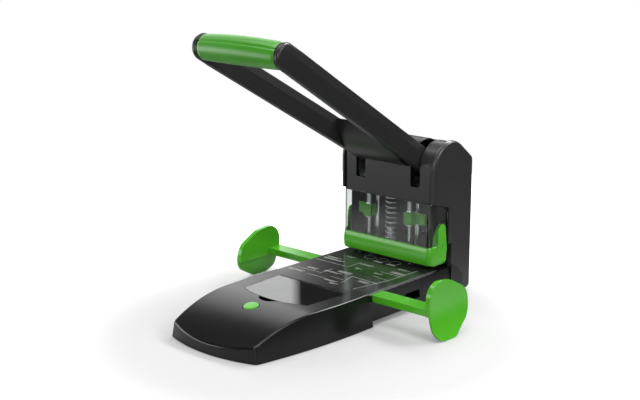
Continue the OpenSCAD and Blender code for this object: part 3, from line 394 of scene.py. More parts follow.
# Each finish: its colour as sRGB hex or the name of a setting, its roughness, its grain and
# bump in mm, and what else differs
FINISHES = {
    # from a polished mould: near black face on, and pale where it grazes the sky
    "Satin_black_ABS": ("black", 0.19, 0.5, 0.006,
                        {"specular": 0.34, "mottle": 0.08, "spread": 0.03}),
    # the lever's finely eroded moulding: even, with a broad soft highlight
    "Eroded_black_ABS": ("1C1C1D", 0.36, 0.6, 0.012, {"specular": 0.42, "mottle": 0.05}),
    # from a spark-textured mould: an even dark grey with no mirror in it
    "Textured_black_ABS": ("textured", 0.33, 0.8, 0.03, {"specular": 0.4, "mottle": 0.05}),
    # inside the machine, straight from a plain mould
    "Dull_black_ABS": ("161617", 0.55, 0.9, 0.03, {"specular": 0.3}),
    # from a polished mould: a deep green with soft white highlights
    "Gloss_green_ABS": ("green", 0.15, 0.6, 0.008, {"mottle": 0.05, "spread": 0.04}),
    # soft thermoplastic over the grip tube: a broad, milky highlight
    "Soft_green_TPE": ("grip", 0.32, 0.7, 0.01, {"spread": 0.04}),
    # baked on sheet steel: a fine orange peel that still mirrors what is near
    "Black_powder_coat": ("table", 0.18, 1.6, 0.008, {"specular": 0.4, "spread": 0.04}),
    # bright zinc over rolled sheet: short brushed lines along its length
    "Zinc_plated_steel": ("steel", 0.32, 0.5, 0.01,
                          {"metallic": 1.0, "mottle": 0.1, "spread": 0.1,
                           "stretch": (0.06, 1, 1)}),
    # centreless ground: a bright mirror with faint rings round the bar
    "Ground_steel": ("D8DADC", 0.16, 0.4, 0.004,
                     {"metallic": 1.0, "mottle": 0.04, "spread": 0.05,
                      "stretch": (0.1, 0.1, 1)}),
    # blackened in a hot salt bath: dark, oily and faintly blue
    "Blackened_steel": ("2A2B2E", 0.38, 0.6, 0.02, {"metallic": 0.7, "mottle": 0.12}),
    # pressed powder that holds oil: warm and slightly porous
    "Sintered_bronze": ("B08A4A", 0.42, 0.3, 0.03, {"metallic": 1.0, "mottle": 0.12}),
    # hard drawn: bright, with drawing lines too fine to see
    "Drawn_spring_wire": ("CDD0D3", 0.24, 0.5, 0.006, {"metallic": 1.0, "mottle": 0.05}),
    # the feet: dull, with a little bloom
    "Moulded_rubber": ("232323", 0.75, 0.8, 0.05, {"specular": 0.25, "mottle": 0.15}),
    # unfilled: off-white and waxy
    "Natural_nylon": ("D8D3C0", 0.45, 0.7, 0.01, {"specular": 0.4}),
    # the print on the table: thin, flat and slightly uneven
    "Pale_screen_ink": ("C2C7C0", 0.6, 0.8, 0.01, {"specular": 0.3, "mottle": 0.25}),
}

# Each clear finish: its colour, its roughness, the height of its ripples in mm, and the rest
CLEAR_FINISHES = {
    # moulded acrylic: all but unseen, with bright cut edges
    "Clear_acrylic": ("F2F5F4", 0.03, 0.05, {"specular": 0.4}),
    # lightly smoked, over the tray: a dark window with a sharp, bright reflection
    "Smoked_polystyrene": ("A9ACAC", 0.012, 0.01, {"ior": 1.59}),
}


def finish(name):
    """The material of a finish, made the first time it is asked for."""
    found = bpy.data.materials.get(name)
    if found:
        return found
    build, rows = (clear, CLEAR_FINISHES) if name in CLEAR_FINISHES else (surface, FINISHES)
    colour, *values, more = rows[name]
    return build(name, getattr(colours(), colour, colour), *values, **more)


BLACK, DULL, TEXTURED = "Satin_black_ABS", "Dull_black_ABS", "Textured_black_ABS"
GREEN, STEEL, BRIGHT = "Gloss_green_ABS", "Zinc_plated_steel", "Ground_steel"


# ---------- geometry node trees ----------

def new_tree(name, sockets):
    """A Geometry Nodes tree with named inputs, given as name: (socket type, default)."""
    tree = bpy.data.node_groups.new(name, "GeometryNodeTree")
    tree.interface.new_socket("Geometry", in_out="OUTPUT", socket_type="NodeSocketGeometry")
    for label, (kind, value) in sockets.items():
        socket = tree.interface.new_socket(label, in_out="INPUT", socket_type=kind)
        if value is not None:
            socket.default_value = value
    return tree, tree.nodes.new("NodeGroupInput")


def end_tree(tree, geometry, material, smooth=True):
    """Ends a tree in Realize Instances and Set Material."""
    last = add(tree, "GeometryNodeRealizeInstances", {"Geometry": geometry})
    if smooth:
        last = add(tree, "GeometryNodeSetShadeSmooth", {"Geometry": last.outputs["Geometry"]})
    last = add(tree, "GeometryNodeSetMaterial",
               {"Geometry": last.outputs["Geometry"], "Material": material})
    add(tree, "NodeGroupOutput", {0: last.outputs["Geometry"]})


def grown(name, tree, values):
    """Runs a tree with these inputs on a new object, and keeps the result as a plain mesh."""
    made = bpy.data.objects.new(name, bpy.data.meshes.new(name))
    bpy.context.scene.collection.objects.link(made)
    modifier = made.modifiers.new("Nodes", "NODES")
    modifier.node_group = tree
    for item in tree.interface.items_tree:
        if item.in_out == "INPUT" and item.name in values:
            modifier[item.identifier] = values[item.name]
    return baked(made)


END_GAP = 0.6 * MM                  # between the closed turns at a spring's ends


def coil_tree(material):
    """A compression spring: closed end turns, an even pitch between them, round wire."""
    tree, given = new_tree("Coil_spring", {
        "Turns": ("NodeSocketFloat", 8.0), "Radius": ("NodeSocketFloat", 0.009),
        "Length": ("NodeSocketFloat", 0.08), "Wire": ("NodeSocketFloat", 0.002),
        "Centre": ("NodeSocketVector", None)})
    out = given.outputs
    spiral = add(tree, "GeometryNodeCurveSpiral",
                 {"Resolution": 40, "Rotations": out["Turns"], "Start Radius": out["Radius"],
                  "End Radius": out["Radius"], "Height": 0.0})
    share = add(tree, "GeometryNodeSplineParameter")
    turn = add(tree, "ShaderNodeMath", {0: share.outputs["Factor"], 1: out["Turns"]},
               operation="MULTIPLY")
    end_pitch = add(tree, "ShaderNodeMath", {0: out["Wire"], 1: END_GAP}, operation="ADD")
    inner = add(tree, "ShaderNodeMath", {0: out["Turns"], 1: 2.0}, operation="SUBTRACT")
    past = add(tree, "ShaderNodeMath", {0: turn.outputs[0], 1: 1.0}, operation="SUBTRACT")
    floor = add(tree, "ShaderNodeMath", {0: past.outputs[0], 1: 0.0}, operation="MAXIMUM")
    open_turns = add(tree, "ShaderNodeMath", {0: floor.outputs[0], 1: inner.outputs[0]},
                     operation="MINIMUM")
    closed = add(tree, "ShaderNodeMath", {0: out["Turns"], 1: end_pitch.outputs[0]},
                 operation="MULTIPLY")
    used = add(tree, "ShaderNodeMath", {0: closed.outputs[0], 1: out["Wire"]}, operation="ADD")
    spare = add(tree, "ShaderNodeMath", {0: out["Length"], 1: used.outputs[0]},
                operation="SUBTRACT")
    extra = add(tree, "ShaderNodeMath", {0: spare.outputs[0], 1: inner.outputs[0]},
                operation="DIVIDE")
    lift = add(tree, "ShaderNodeMath",
               {0: open_turns.outputs[0], 1: extra.outputs[0]}, operation="MULTIPLY")
    base = add(tree, "ShaderNodeMath",
               {0: turn.outputs[0], 1: end_pitch.outputs[0], 2: lift.outputs[0]},
               operation="MULTIPLY_ADD")
    height = add(tree, "ShaderNodeMath", {0: out["Wire"], 1: 0.5, 2: base.outputs[0]},
                 operation="MULTIPLY_ADD")
    up = add(tree, "ShaderNodeCombineXYZ", {"Z": height.outputs[0]})
    place = add(tree, "ShaderNodeVectorMath",
                {0: up.outputs[0], 1: out["Centre"]}, operation="ADD")
    raised = add(tree, "GeometryNodeSetPosition",
                 {"Geometry": spiral.outputs["Curve"], "Offset": place.outputs[0]})
    half = add(tree, "ShaderNodeMath", {0: out["Wire"], 1: 0.5}, operation="MULTIPLY")
    ring = add(tree, "GeometryNodeCurvePrimitiveCircle",
               {"Resolution": 10, "Radius": half.outputs[0]})
    wire = add(tree, "GeometryNodeCurveToMesh",
               {"Curve": raised.outputs["Geometry"], "Profile Curve": ring.outputs["Curve"],
                "Fill Caps": True})
    end_tree(tree, wire.outputs["Mesh"], material)
    return tree


def row_tree(material):
    """A row of like blocks: teeth along a bar, or dashes along a printed line."""
    tree, given = new_tree("Row_of_blocks", {
        "Start": ("NodeSocketVector", None), "Step": ("NodeSocketVector", None),
        "Count": ("NodeSocketInt", 8), "Block": ("NodeSocketVector", None)})
    out = given.outputs
    line = add(tree, "GeometryNodeMeshLine",
               {"Count": out["Count"], "Start Location": out["Start"], "Offset": out["Step"]},
               mode="OFFSET")
    block = add(tree, "GeometryNodeMeshCube", {"Size": out["Block"]})
    placed = add(tree, "GeometryNodeInstanceOnPoints",
                 {"Points": line.outputs["Mesh"], "Instance": block.outputs["Mesh"]})
    end_tree(tree, placed.outputs["Instances"], material, smooth=False)
    return tree


# ---------- stage ----------

CAMERA_AT = Vector((1.2095, -1.4789, 0.6116))
CAMERA_TO = Vector((-0.06807, -0.08437, 0.14582))
CAMERA_LENS = 72.09                 # mm, on a 36 mm sensor
CARD_EDGE = math.radians(133.5)     # where a white card behind the machine ends
CARD_LEFT = (-math.sin(CARD_EDGE), math.cos(CARD_EDGE), 0.0)
CARD_FACING = (math.cos(CARD_EDGE + 0.45), math.sin(CARD_EDGE + 0.45), 0.0)
CARD_SIDE = (-0.002, 0.006)         # the card's sharp edge, its far side and its top, each
CARD_SPREAD = (0.55, 0.8)           # as the range over which it fades into the room
CARD_TOP = (0.53, 0.66)
ROOM_LEVEL, CARD_LEVEL = 0.05, 1.7
# Softboxes: name, place, the point it faces, width, height and power
LAMPS = (
    ("Key", (-0.25, -0.35, 1.9), (0, -0.1, 0.1), 1.5, 1.5, 27),
    ("Right", (1.7, 0.0, 1.25), (0, -0.1, 0.1), 1.3, 0.8, 26),
    ("Front", (0.95, -2.0, 1.0), (0, -0.1, 0.15), 1.3, 1.1, 22),
    ("Rim", (0.1, 1.3, 1.5), (0, -0.2, 0.1), 2.3, 0.5, 60),
    ("Low_strip", (-0.85, -0.95, 0.27), (0, 0, 0.08), 0.9, 0.45, 4.6),
    ("Corner", (1.1, -1.25, 0.14), (0.05, -0.2, 0.1), 0.3, 0.14, 1.6))


def seen_directly(tree, path):
    """1 for what the camera sees, also through clear plastic, and 0 in every reflection."""
    bounces = add(tree, "ShaderNodeMath", {0: path.outputs["Glossy Depth"],
                                           1: path.outputs["Diffuse Depth"]}, operation="ADD")
    first = add(tree, "ShaderNodeMath", {0: bounces.outputs[0], 1: 0.5},
                operation="LESS_THAN")
    through = add(tree, "ShaderNodeMath", {0: path.outputs["Is Transmission Ray"],
                                           1: first.outputs[0]}, operation="MULTIPLY")
    return add(tree, "ShaderNodeMath", {0: path.outputs["Is Camera Ray"],
                                        1: through.outputs[0]}, operation="MAXIMUM").outputs[0]


def studio_world():
    """A dim room with a white card behind, to the left; seen directly, it is plain white."""
    world = bpy.data.worlds.new("Studio")
    bpy.context.scene.world = world
    tree = emptied(world)
    towards = add(tree, "ShaderNodeTexCoord").outputs["Generated"]
    aside, facing = (add(tree, "ShaderNodeVectorMath", {0: towards, 1: axis},
                         operation="DOT_PRODUCT").outputs["Value"]
                     for axis in (CARD_LEFT, CARD_FACING))
    height = add(tree, "ShaderNodeSeparateXYZ", {0: towards}).outputs["Z"]
    edge = add(tree, "ShaderNodeMapRange",
               {"Value": aside, "From Min": CARD_SIDE[0], "From Max": CARD_SIDE[1]})
    spread = add(tree, "ShaderNodeMapRange",
                 {"Value": facing, "From Min": CARD_SPREAD[0], "From Max": CARD_SPREAD[1]},
                 interpolation_type="SMOOTHSTEP")
    top = add(tree, "ShaderNodeMapRange",
              {"Value": height, "From Min": CARD_TOP[0], "From Max": CARD_TOP[1],
               "To Min": 1.0, "To Max": 0.0}, interpolation_type="SMOOTHSTEP")
    flank = add(tree, "ShaderNodeMath", {0: edge.outputs[0], 1: spread.outputs[0]},
                operation="MULTIPLY")
    card = add(tree, "ShaderNodeMath", {0: flank.outputs[0], 1: top.outputs[0]},
               operation="MULTIPLY")
    room = add(tree, "ShaderNodeMapRange",
               {"Value": card.outputs[0], "To Min": ROOM_LEVEL, "To Max": CARD_LEVEL})
    direct = seen_directly(tree, add(tree, "ShaderNodeLightPath"))
    level = add(tree, "ShaderNodeMix", {0: direct, 2: room.outputs["Result"], 3: 1.0})
    sky = add(tree, "ShaderNodeBackground",
              {"Color": (1, 1, 1, 1), "Strength": level.outputs[0]})
    add(tree, "ShaderNodeOutputWorld", {"Surface": sky.outputs["Background"]})


FLOOR_R = 0.85
FLOOR_MIDDLE = (0.05, -0.22, 0)
FLOOR_FADE = (0.25, 0.52)           # distances from its middle over which it turns white
# painted shade: near its middle the floor glows only this much, so it is greyer round the machine even where no
# shadow falls
FLOOR_PAINTED_SHADE_GLOW, MIRRORED_GLOW = 0.16, 0.12
FLOOR_TONE = 0.38
MIRRORED_FADE = (0.3, 0.52)         # and over which it turns dark in reflections
MIRRORED_TONES = (0.36, 0.04)


def desk():
    """A pale round floor: it keeps the machine's shadow, is greyer round the machine with painted shade, and meets
    the room without an edge.
    """
    bm = bmesh.new()
    bmesh.ops.create_circle(bm, cap_ends=True, segments=96, radius=FLOOR_R)
    floor = piece_from(bm, "Floor")
    made = bpy.data.materials.new("Pale_floor")
    tree = emptied(made)
    place = add(tree, "ShaderNodeTexCoord").outputs["Object"]
    reach = add(tree, "ShaderNodeVectorMath", {0: place, 1: FLOOR_MIDDLE},
                operation="DISTANCE").outputs["Value"]
    path = add(tree, "ShaderNodeLightPath")
    in_mirror = path.outputs["Is Glossy Ray"]
    dimmed = add(tree, "ShaderNodeMath", {0: in_mirror, 1: MIRRORED_GLOW},
                 operation="MULTIPLY")
    share = add(tree, "ShaderNodeMath", {0: seen_directly(tree, path), 1: dimmed.outputs[0]},
                operation="MAXIMUM")
    # painted shade: the glow falls off towards the machine, which greys the floor round it
    level = add(tree, "ShaderNodeMapRange",
                {"Value": reach, "From Min": FLOOR_FADE[0], "From Max": FLOOR_FADE[1],
                 "To Min": FLOOR_PAINTED_SHADE_GLOW, "To Max": 1.0}, interpolation_type="SMOOTHSTEP")
    glow = add(tree, "ShaderNodeMath", {0: share.outputs[0], 1: level.outputs["Result"]},
               operation="MULTIPLY")
    mirrored_tone = add(tree, "ShaderNodeMapRange",
                        {"Value": reach, "From Min": MIRRORED_FADE[0],
                         "From Max": MIRRORED_FADE[1], "To Min": MIRRORED_TONES[0],
                         "To Max": MIRRORED_TONES[1]}, interpolation_type="SMOOTHSTEP")
    tone = add(tree, "ShaderNodeMapRange",
               {"Value": in_mirror, "To Min": FLOOR_TONE,
                "To Max": mirrored_tone.outputs["Result"]})
    shader = add(tree, "ShaderNodeBsdfPrincipled",
                 {"Base Color": tone.outputs["Result"], "Roughness": 0.9,
                  "Specular IOR Level": 0.0, "Emission Color": (1, 1, 1, 1),
                  "Emission Strength": glow.outputs[0]})
    add(tree, "ShaderNodeOutputMaterial", {"Surface": shader.outputs["BSDF"]})
    floor.data.materials.append(made)


def soft_light(name, at, to, width, height, power):
    """A rectangular softbox that faces a point."""
    data = bpy.data.lights.new(name, "AREA")
    data.shape = "RECTANGLE"
    data.size = width
    data.size_y = height
    data.energy = power
    lamp = bpy.data.objects.new(name, data)
    bpy.context.scene.collection.objects.link(lamp)
    lamp.visible_camera = False
    lamp.location = at
    lamp.rotation_euler = (Vector(to) - Vector(at)).to_track_quat("-Z", "Y").to_euler()


class PUNCH_OT_stage(bpy.types.Operator):
    """Makes the floor, the room, the lamps and the camera"""
    bl_idname = "punch.stage"
    bl_label = "Stage"

    def execute(self, context):
        context.scene.view_settings.view_transform = "Standard"
        studio_world()
        desk()
        for lamp in LAMPS:
            soft_light(*lamp)
        data = bpy.data.cameras.new("Camera")
        data.lens = CAMERA_LENS
        data.sensor_width = 36
        camera = bpy.data.objects.new("Camera", data)
        context.scene.collection.objects.link(camera)
        camera.location = CAMERA_AT
        camera.rotation_euler = (CAMERA_TO - CAMERA_AT).to_track_quat("-Z", "Y").to_euler()
        context.scene.camera = camera
        return {"FINISHED"}


# ---------- base ----------

CROWN_R = 241 * MM                  # side-view radius of the cover's nose
CROWN_Y = -266 * MM                 # where the nose's curve begins
CROWN_TOP = 48 * MM
BUTTON_Y = -300 * MM
BUTTON_HOLE_R = 12.1 * MM


def crown(y):
    """Height and upward normal of the cover's top at a distance from the punches."""
    run = max(0.0, CROWN_Y - y)
    rise = math.sqrt(CROWN_R ** 2 - run ** 2)
    return CROWN_TOP - CROWN_R + rise, Vector((0, -run / CROWN_R, rise / CROWN_R))


def crown_shading(made):
    """Gives the cover's top the normals of its true curve, so its facets don't show."""
    mesh = made.data
    normals = [Vector(n.vector) for n in mesh.corner_normals]
    for face in mesh.polygons:      # the faces of the top lie high, and along the crown
        if face.center.z < 20 * MM or face.normal.dot(crown(face.center.y)[1]) < 0.999:
            continue
        for corner in face.loop_indices:
            at = mesh.vertices[mesh.loops[corner].vertex_index].co
            normals[corner] = crown(at.y)[1]
    mesh.normals_split_custom_set([tuple(n) for n in normals])


SEAM_Y = -156 * MM                  # where the cover meets the rear housing
WIDEST_Y = -194 * MM
COVER_HALF = 101 * MM
SIDE_R = 951 * MM                   # the sides are bowed in plan
SIDE_LEAN = math.tan(math.radians(10.5))
LIP_LEAN = math.tan(math.radians(7))
BOW_R = 230 * MM                    # and so is the nose
FRONT_Y = -389 * MM
SKIRT_Z = 0.8 * MM
CORNER_CUT = 3.2 * MM               # how far the corners' rounding reaches
SIDE_POINTS, NOSE_POINTS = 34, 30
COVER_WALL = 2.5 * MM
FINGER_Y, FINGER_R = -256 * MM, 20.5 * MM   # middle and radius of the finger notch
LID_BACK_Y, LID_FRONT_Y = -174 * MM, -266 * MM
LID_HALF_BACK, LID_HALF_FRONT = 67 * MM, 62 * MM
LID_BOW_R = 154 * MM


def cover_half_plan(inset, height):
    """Right half of the cover's plan, from the seam to the middle of the nose, as (x, y, z).

    The height of a point comes from its own y, so the plan and the crown are solved together.
    """
    def side_x(y, z):
        return (COVER_HALF - SIDE_R + math.sqrt(SIDE_R ** 2 - (y - WIDEST_Y) ** 2)
                - (z - SKIRT_Z) * SIDE_LEAN - inset)

    def nose_y(x, z):
        return (FRONT_Y + BOW_R - math.sqrt(BOW_R ** 2 - x ** 2)
                + (z - SKIRT_Z) * LIP_LEAN + inset)

    x, y = 80 * MM, -350 * MM       # near the corner; each round brings it closer
    for _ in range(30):
        z = height(y)
        x, y = side_x(y, z), nose_y(x, z)
    corner = (x, y)
    points = []
    for k in range(SIDE_POINTS):
        py = SEAM_Y + (corner[1] + CORNER_CUT - SEAM_Y) * k / (SIDE_POINTS - 1)
        points.append((side_x(py, height(py)), py, height(py)))
    bow = []
    for k in range(NOSE_POINTS):
        px = (corner[0] - CORNER_CUT) * (1 - k / (NOSE_POINTS - 1))
        py = nose_y(px, height(corner[1]))
        for _ in range(8):
            py = nose_y(px, height(py))
        bow.append((px, py, height(py)))
    start, end = Vector(points[-1]), Vector(bow[0])
    bend = Vector((*corner, height(corner[1])))
    for k in range(1, 6):
        t = k / 6
        points.append(tuple(start * (1 - t) ** 2 + bend * 2 * t * (1 - t) + end * t * t))
    return points + bow


def cover_body(inset, top_drop, foot, edge):
    """A closed body under the crown, with its crest rounded to a radius."""
    halves = [cover_half_plan(inset, lambda y: foot)]
    for inward, down in quarter(6):
        drop = top_drop + edge * down
        halves.append(cover_half_plan(inset + edge * inward,
                                      lambda y, d=drop: crown(y)[0] - d))
    bm = bmesh.new()
    rows = []
    for half in halves:
        row = [bm.verts.new(p) for p in half]
        row += [bm.verts.new((-x, y, z)) for x, y, z in reversed(half[:-1])]
        rows.append(row)
    for a, b in zip(rows, rows[1:]):
        band(bm, a, b)
    count = len(rows[0])
    for row in (rows[0], rows[-1]):
        for i in range(count // 2 - 1):
            bm.faces.new((row[i], row[i + 1], row[count - 2 - i], row[count - 1 - i]))
        i = count // 2 - 1
        bm.faces.new((row[i], row[i + 1], row[i + 2]))
    bmesh.ops.recalc_face_normals(bm, faces=bm.faces)
    return bm


def lid_opening(grow):
    """Plan of the storage lid: straight sides that narrow forwards, and a bowed front."""
    points = [(LID_HALF_BACK + grow, LID_BACK_Y + grow),
              (-LID_HALF_BACK - grow, LID_BACK_Y + grow)]
    front, half = LID_FRONT_Y - grow, LID_HALF_FRONT + grow
    for i in range(25):
        x = -half + 2 * half * i / 24
        points.append((x, front + LID_BOW_R - math.sqrt(LID_BOW_R ** 2 - x ** 2)))
    return points


def cover_piece():
    """The front cover: a thin moulding with a crisp crest, the lid's opening and a notch."""
    cover = piece_from(cover_body(0, 0, SKIRT_Z, sizes().cover_edge), "cover_moulding")
    inside = piece_from(cover_body(COVER_WALL, COVER_WALL, -3 * MM, 0.4 * MM),
                        "Inside_cutter")
    for vert in inside.data.vertices:
        if vert.co.y > SEAM_Y - 1 * MM:
            vert.co.y += 3 * MM
    carve(cover, inside)
    carve(cover, piece_from(prism(lid_opening(0.35 * MM), 40 * MM, 60 * MM, axis=2),
                            "Lid_cutter"))
    carve(cover, drum((0, BUTTON_Y), BUTTON_HOLE_R, 38 * MM, 60 * MM))
    carve(cover, drum((0, FINGER_Y), FINGER_R, 43 * MM, 60 * MM))
    reshaded(cover)
    crown_shading(cover)
    settle(cover, "front_cover", BLACK)


def finger_dish():
    """The bowl under the finger notch."""
    radius, depth, wall = 21.5 * MM, 9 * MM, 1.2 * MM
    rings = []
    for grow, steps in ((0.0, range(9)), (wall, range(8, -1, -1))):
        for k in steps:
            a = math.pi / 2 * k / 8.5
            r, z = (radius + grow) * math.cos(a), -(depth + grow) * math.sin(a)
            ring = []
            for i in range(33):
                b = math.pi * (1.1 + 0.8 * i / 32)
                ring.append((r * math.cos(b), FINGER_Y + r * math.sin(b), 45.2 * MM + z))
            rings.append(ring)
    dish = piece_from(stacked(rings), "finger_dish")
    dish.data.materials.append(finish(BLACK))
    for face in dish.data.polygons:
        face.use_smooth = True
    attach(dish, "chassis")


def rear_housing_piece():
    """The moulding round the tower's foot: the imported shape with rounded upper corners."""
    made = eased_shape("rear_housing", "housing_moulding", 0.4 * MM)
    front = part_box("rear_housing")[0].y - 1 * MM
    lean, rim = math.tan(math.radians(6.8)), 46.25 * MM
    r, half, tower_y = 1.5 * MM, 97.5 * MM, -6 * MM
    top = half - (rim - 8 * MM) * lean
    outline = [(half, 7 * MM)] + [(top - r * inward, rim - r * down)
                                  for inward, down in quarter(6)]
    outline = outline + [(-x, z) for x, z in reversed(outline)]
    body = piece_from(prism(outline, front, tower_y, axis=1), "Housing_envelope")
    rear = piece_from(prism([(-0.12, 0.0), (0.12, 0.0), (0.12, 0.1), (-0.12, 0.1)],
                            tower_y, 0.1, axis=1), "Housing_rear")
    carve(body, rear, "UNION")
    carve(made, body, "INTERSECT")
    settle(reshaded(made), "rear_housing", BLACK)


def table_piece():
    """The steel table: its upper edges are rounded by the press."""
    made = eased_shape("table_plate", "table_sheet", 0.1 * MM)
    low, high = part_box("table_plate")
    r = 1.3 * MM
    rings = []
    for inset, z in [(0.0, low.z - 1 * MM)] + [
            (r * inward, high.z - r * down) for inward, down in quarter(5)]:
        x = high.x - inset
        rings.append([(x, low.y - 1 * MM, z), (x, high.y + 1 * MM, z),
                      (-x, high.y + 1 * MM, z), (-x, low.y - 1 * MM, z)])
    carve(made, piece_from(stacked(rings), "Table_envelope"), "INTERSECT")
    settle(reshaded(made), "table_plate", "Black_powder_coat")


def button_piece():
    """The lid's button: a low crown that follows the slope of the nose."""
    top = piece_from(merged_copy("release_button"), "button_moulding")
    carve(top, drum((0, BUTTON_Y), 20 * MM, 42.5 * MM, 60 * MM))
    rings = []
    slope = 0.16                    # of the nose under the button
    for r, rise in ((10.2, -5.5), (10.9, -5.2), (10.9, 0.2), (10.65, 0.65), (10.1, 0.9),
                    (8.4, 1.0), (6.0, 1.08), (3.0, 1.12), (0.6, 1.13)):
        ring = []
        for i in range(72):
            a = 2 * math.pi * i / 72
            x, y = r * MM * math.cos(a), r * MM * math.sin(a)
            tilt = slope * y if rise > 0 else 0.0
            ring.append((x, BUTTON_Y + y, 45.6 * MM + rise * MM + tilt))
        rings.append(ring)
    cap = stacked(rings)
    soften(cap)
    carve(top, piece_from(cap, "Button_cap"), "UNION")
    settle(reshaded(top), "release_button", GREEN)


class PUNCH_OT_base(bpy.types.Operator):
    """Eases the mouldings and sheets of the base"""
    bl_idname = "punch.base"
    bl_label = "Base"

    def execute(self, context):
        sheet = sizes().sheet_edge
        cover_piece()
        finger_dish()
        rear_housing_piece()
        eased("chip_drawer", "drawer_moulding", 0.5 * MM, BLACK)
        eased("storage_tray", "tray_moulding", 0.5 * MM, DULL)
        eased("guide_channel", "channel_moulding", 0.3 * MM, DULL)
        table_piece()
        eased("base_plate", "base_sheet", 0.4 * MM, STEEL)
        eased("storage_lid", "lid_moulding", 0.35 * MM, "Smoked_polystyrene")
        button_piece()
        eased("rear_pad", "rear_pad_moulding", 0.8 * MM, "Moulded_rubber")
        eased("front_feet", "front_feet_moulding", 0.8 * MM, "Moulded_rubber")
        eased("paper_stop", "paper_stop_sheet", sheet, "Black_powder_coat")
        eased("label_card", "card_sheet", 0.1 * MM, DULL)
        return {"FINISHED"}


# ---------- tower ----------

ARCH = (32 * MM, 200 * MM)          # centre of the arched top, in (y, z)
ARCH_R = 41.5 * MM
BACK_SLOPE = math.radians(38.7)
HOUSING_INNER, HOUSING_HALF = 78 * MM, 82 * MM
HOUSING_WIDEN = 3.3 * MM            # the front's sides reach the shells, so no gap shows


def tower_span():
    """Outer x of the right-hand side shell, and its rear and foot."""
    low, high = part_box("shell_right")
    return high.x, high.y, low.z


def shell_outline(inset, rear, foot):
    """Outline of a shell in (y, z): arched top, sloping back, rounded rear corners."""
    radius, slope = ARCH_R, BACK_SLOPE
    thin = 0.45 * inset             # the back and top are rounded less than the front
    corner_r = 9 * MM - thin / 2
    corner_y = rear - thin - corner_r
    corner_z = ARCH[1] + (radius - thin) / math.cos(slope)
    corner_z -= (corner_y - ARCH[0]) * math.tan(slope) + corner_r / math.cos(slope)
    points = []
    for i in range(41):
        a = math.pi - i / 40 * (math.pi / 2 + slope)
        r = radius - inset * (0.45 + 0.55 * max(0.0, -math.cos(a)) ** 2)
        points.append((ARCH[0] + r * math.cos(a), ARCH[1] + r * math.sin(a)))
    for i in range(11):
        a = (math.pi / 2 - slope) * (1 - i / 10)
        points.append((corner_y + corner_r * math.cos(a), corner_z + corner_r * math.sin(a)))
    heel = 7 * MM
    points += [(rear - thin - heel * inward, foot + thin + heel * down)
               for inward, down in quarter(6)]
    points.append((ARCH[0] - radius + inset, foot + thin))
    return points


def shell_moulding(side):
    """A side shell: a hollow moulding, open inwards, with a generous outer rounding."""
    node = "shell_right" if side > 0 else "shell_left"
    outer_x, rear, foot = tower_span()
    inner_x = outer_x - 7.3 * MM
    depth = sizes().shell_edge
    sweep = 1.6 * depth
    rings = [[(inner_x, y, z) for y, z in shell_outline(0, rear, foot)]]
    for inward, down in quarter(9):
        x = outer_x - depth * down
        rings.append([(x, y, z) for y, z in shell_outline(sweep * inward, rear, foot)])
    shell = piece_from(stacked(rings), node + "_moulding")
    front = ARCH[0] - ARCH_R
    below = foot - 5 * MM
    for back, top, reach in ((32 * MM, 139 * MM, outer_x - 1.5 * MM),
                             (27 * MM, 140.5 * MM, outer_x + 2 * MM)):
        throat = [(front - 5 * MM, 152.8 * MM), (back, top), (back, 84 * MM),
                  (35 * MM, 84 * MM), (35 * MM, below), (front - 5 * MM, below)]
        carve(shell, piece_from(prism(throat, inner_x - 2 * MM, reach), "Throat_cutter"))
    hollow = shell_outline(3 * MM, rear, foot)[:-8]
    hollow += [(rear - 3 * MM, foot + 3 * MM), (38 * MM, foot + 3 * MM), (38 * MM, 135 * MM),
               (front + 3 * MM, 135 * MM)]
    carve(shell, piece_from(prism(hollow, inner_x - 2 * MM, outer_x - 2.6 * MM),
                            "Hollow_cutter"))
    if side < 0:
        bm = bmesh.new()
        bm.from_mesh(shell.data)
        mirrored(bm)
        bm.to_mesh(shell.data)
        bm.free()
    return settle(reshaded(shell), node, TEXTURED)


class PUNCH_OT_tower(bpy.types.Operator):
    """Builds the side shells and eases the other pieces of the tower"""
    bl_idname = "punch.tower"
    bl_label = "Tower"

    def execute(self, context):
        edge, sheet = sizes().tower_edge, sizes().sheet_edge
        shell_moulding(-1)
        shell_moulding(1)
        front = eased_shape("center_housing", "housing_front_moulding", edge)
        for vert in front.data.vertices:
            if abs(vert.co.x) > HOUSING_INNER:
                vert.co.x += math.copysign(HOUSING_WIDEN, vert.co.x)
        plan = guard_plan(HOUSING_HALF + HOUSING_WIDEN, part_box("center_housing")[0].y, 0.12,
                          0, corner=(4.5 * MM, 6 * MM))
        carve(front, piece_from(prism(plan, 0.1, 0.3, axis=2), "Housing_envelope"),
              "INTERSECT")
        settle(reshaded(front), "center_housing", TEXTURED)
        eased("rear_cover", "rear_cover_moulding", edge, TEXTURED)
        eased("inner_wall", "inner_wall_moulding", 0.4 * MM, DULL)
        eased("frame_left", "frame_left_sheet", sheet, STEEL)
        eased("frame_right", "frame_right_sheet", sheet, STEEL)
        eased("frame_bridge", "frame_bridge_sheet", sheet, STEEL)
        eased("spring_bracket", "spring_bracket_sheet", sheet, STEEL)
        eased("die_plate", "die_plate_casting", 0.4 * MM, STEEL)
        return {"FINISHED"}


# ---------- punches, springs and guard ----------

class PUNCH_OT_springs(bpy.types.Operator):
    """Winds the return spring and the button's spring"""
    bl_idname = "punch.springs"
    bl_label = "Springs"

    def execute(self, context):
        tree = coil_tree(finish("Drawn_spring_wire"))
        for node, turns, wire, joint, body_joint in (
                ("return_spring", 11.0, 2.2 * MM, CARRIAGE, "carriage_slide"),
                ("button_spring", 4.0, 1.0 * MM, BUTTON, "button_slide")):
            low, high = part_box(node)
            length = high.z - low.z
            radius = (high.x - low.x - wire) / 2
            centre = ((low.x + high.x) / 2, high.y - wire / 2 - radius, low.z)
            coil = grown(node + "_coil", tree, {
                "Turns": turns, "Radius": radius, "Length": length, "Wire": wire,
                "Centre": centre})
            settle(coil, node, "Drawn_spring_wire")
            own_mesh(coil)
        return {"FINISHED"}


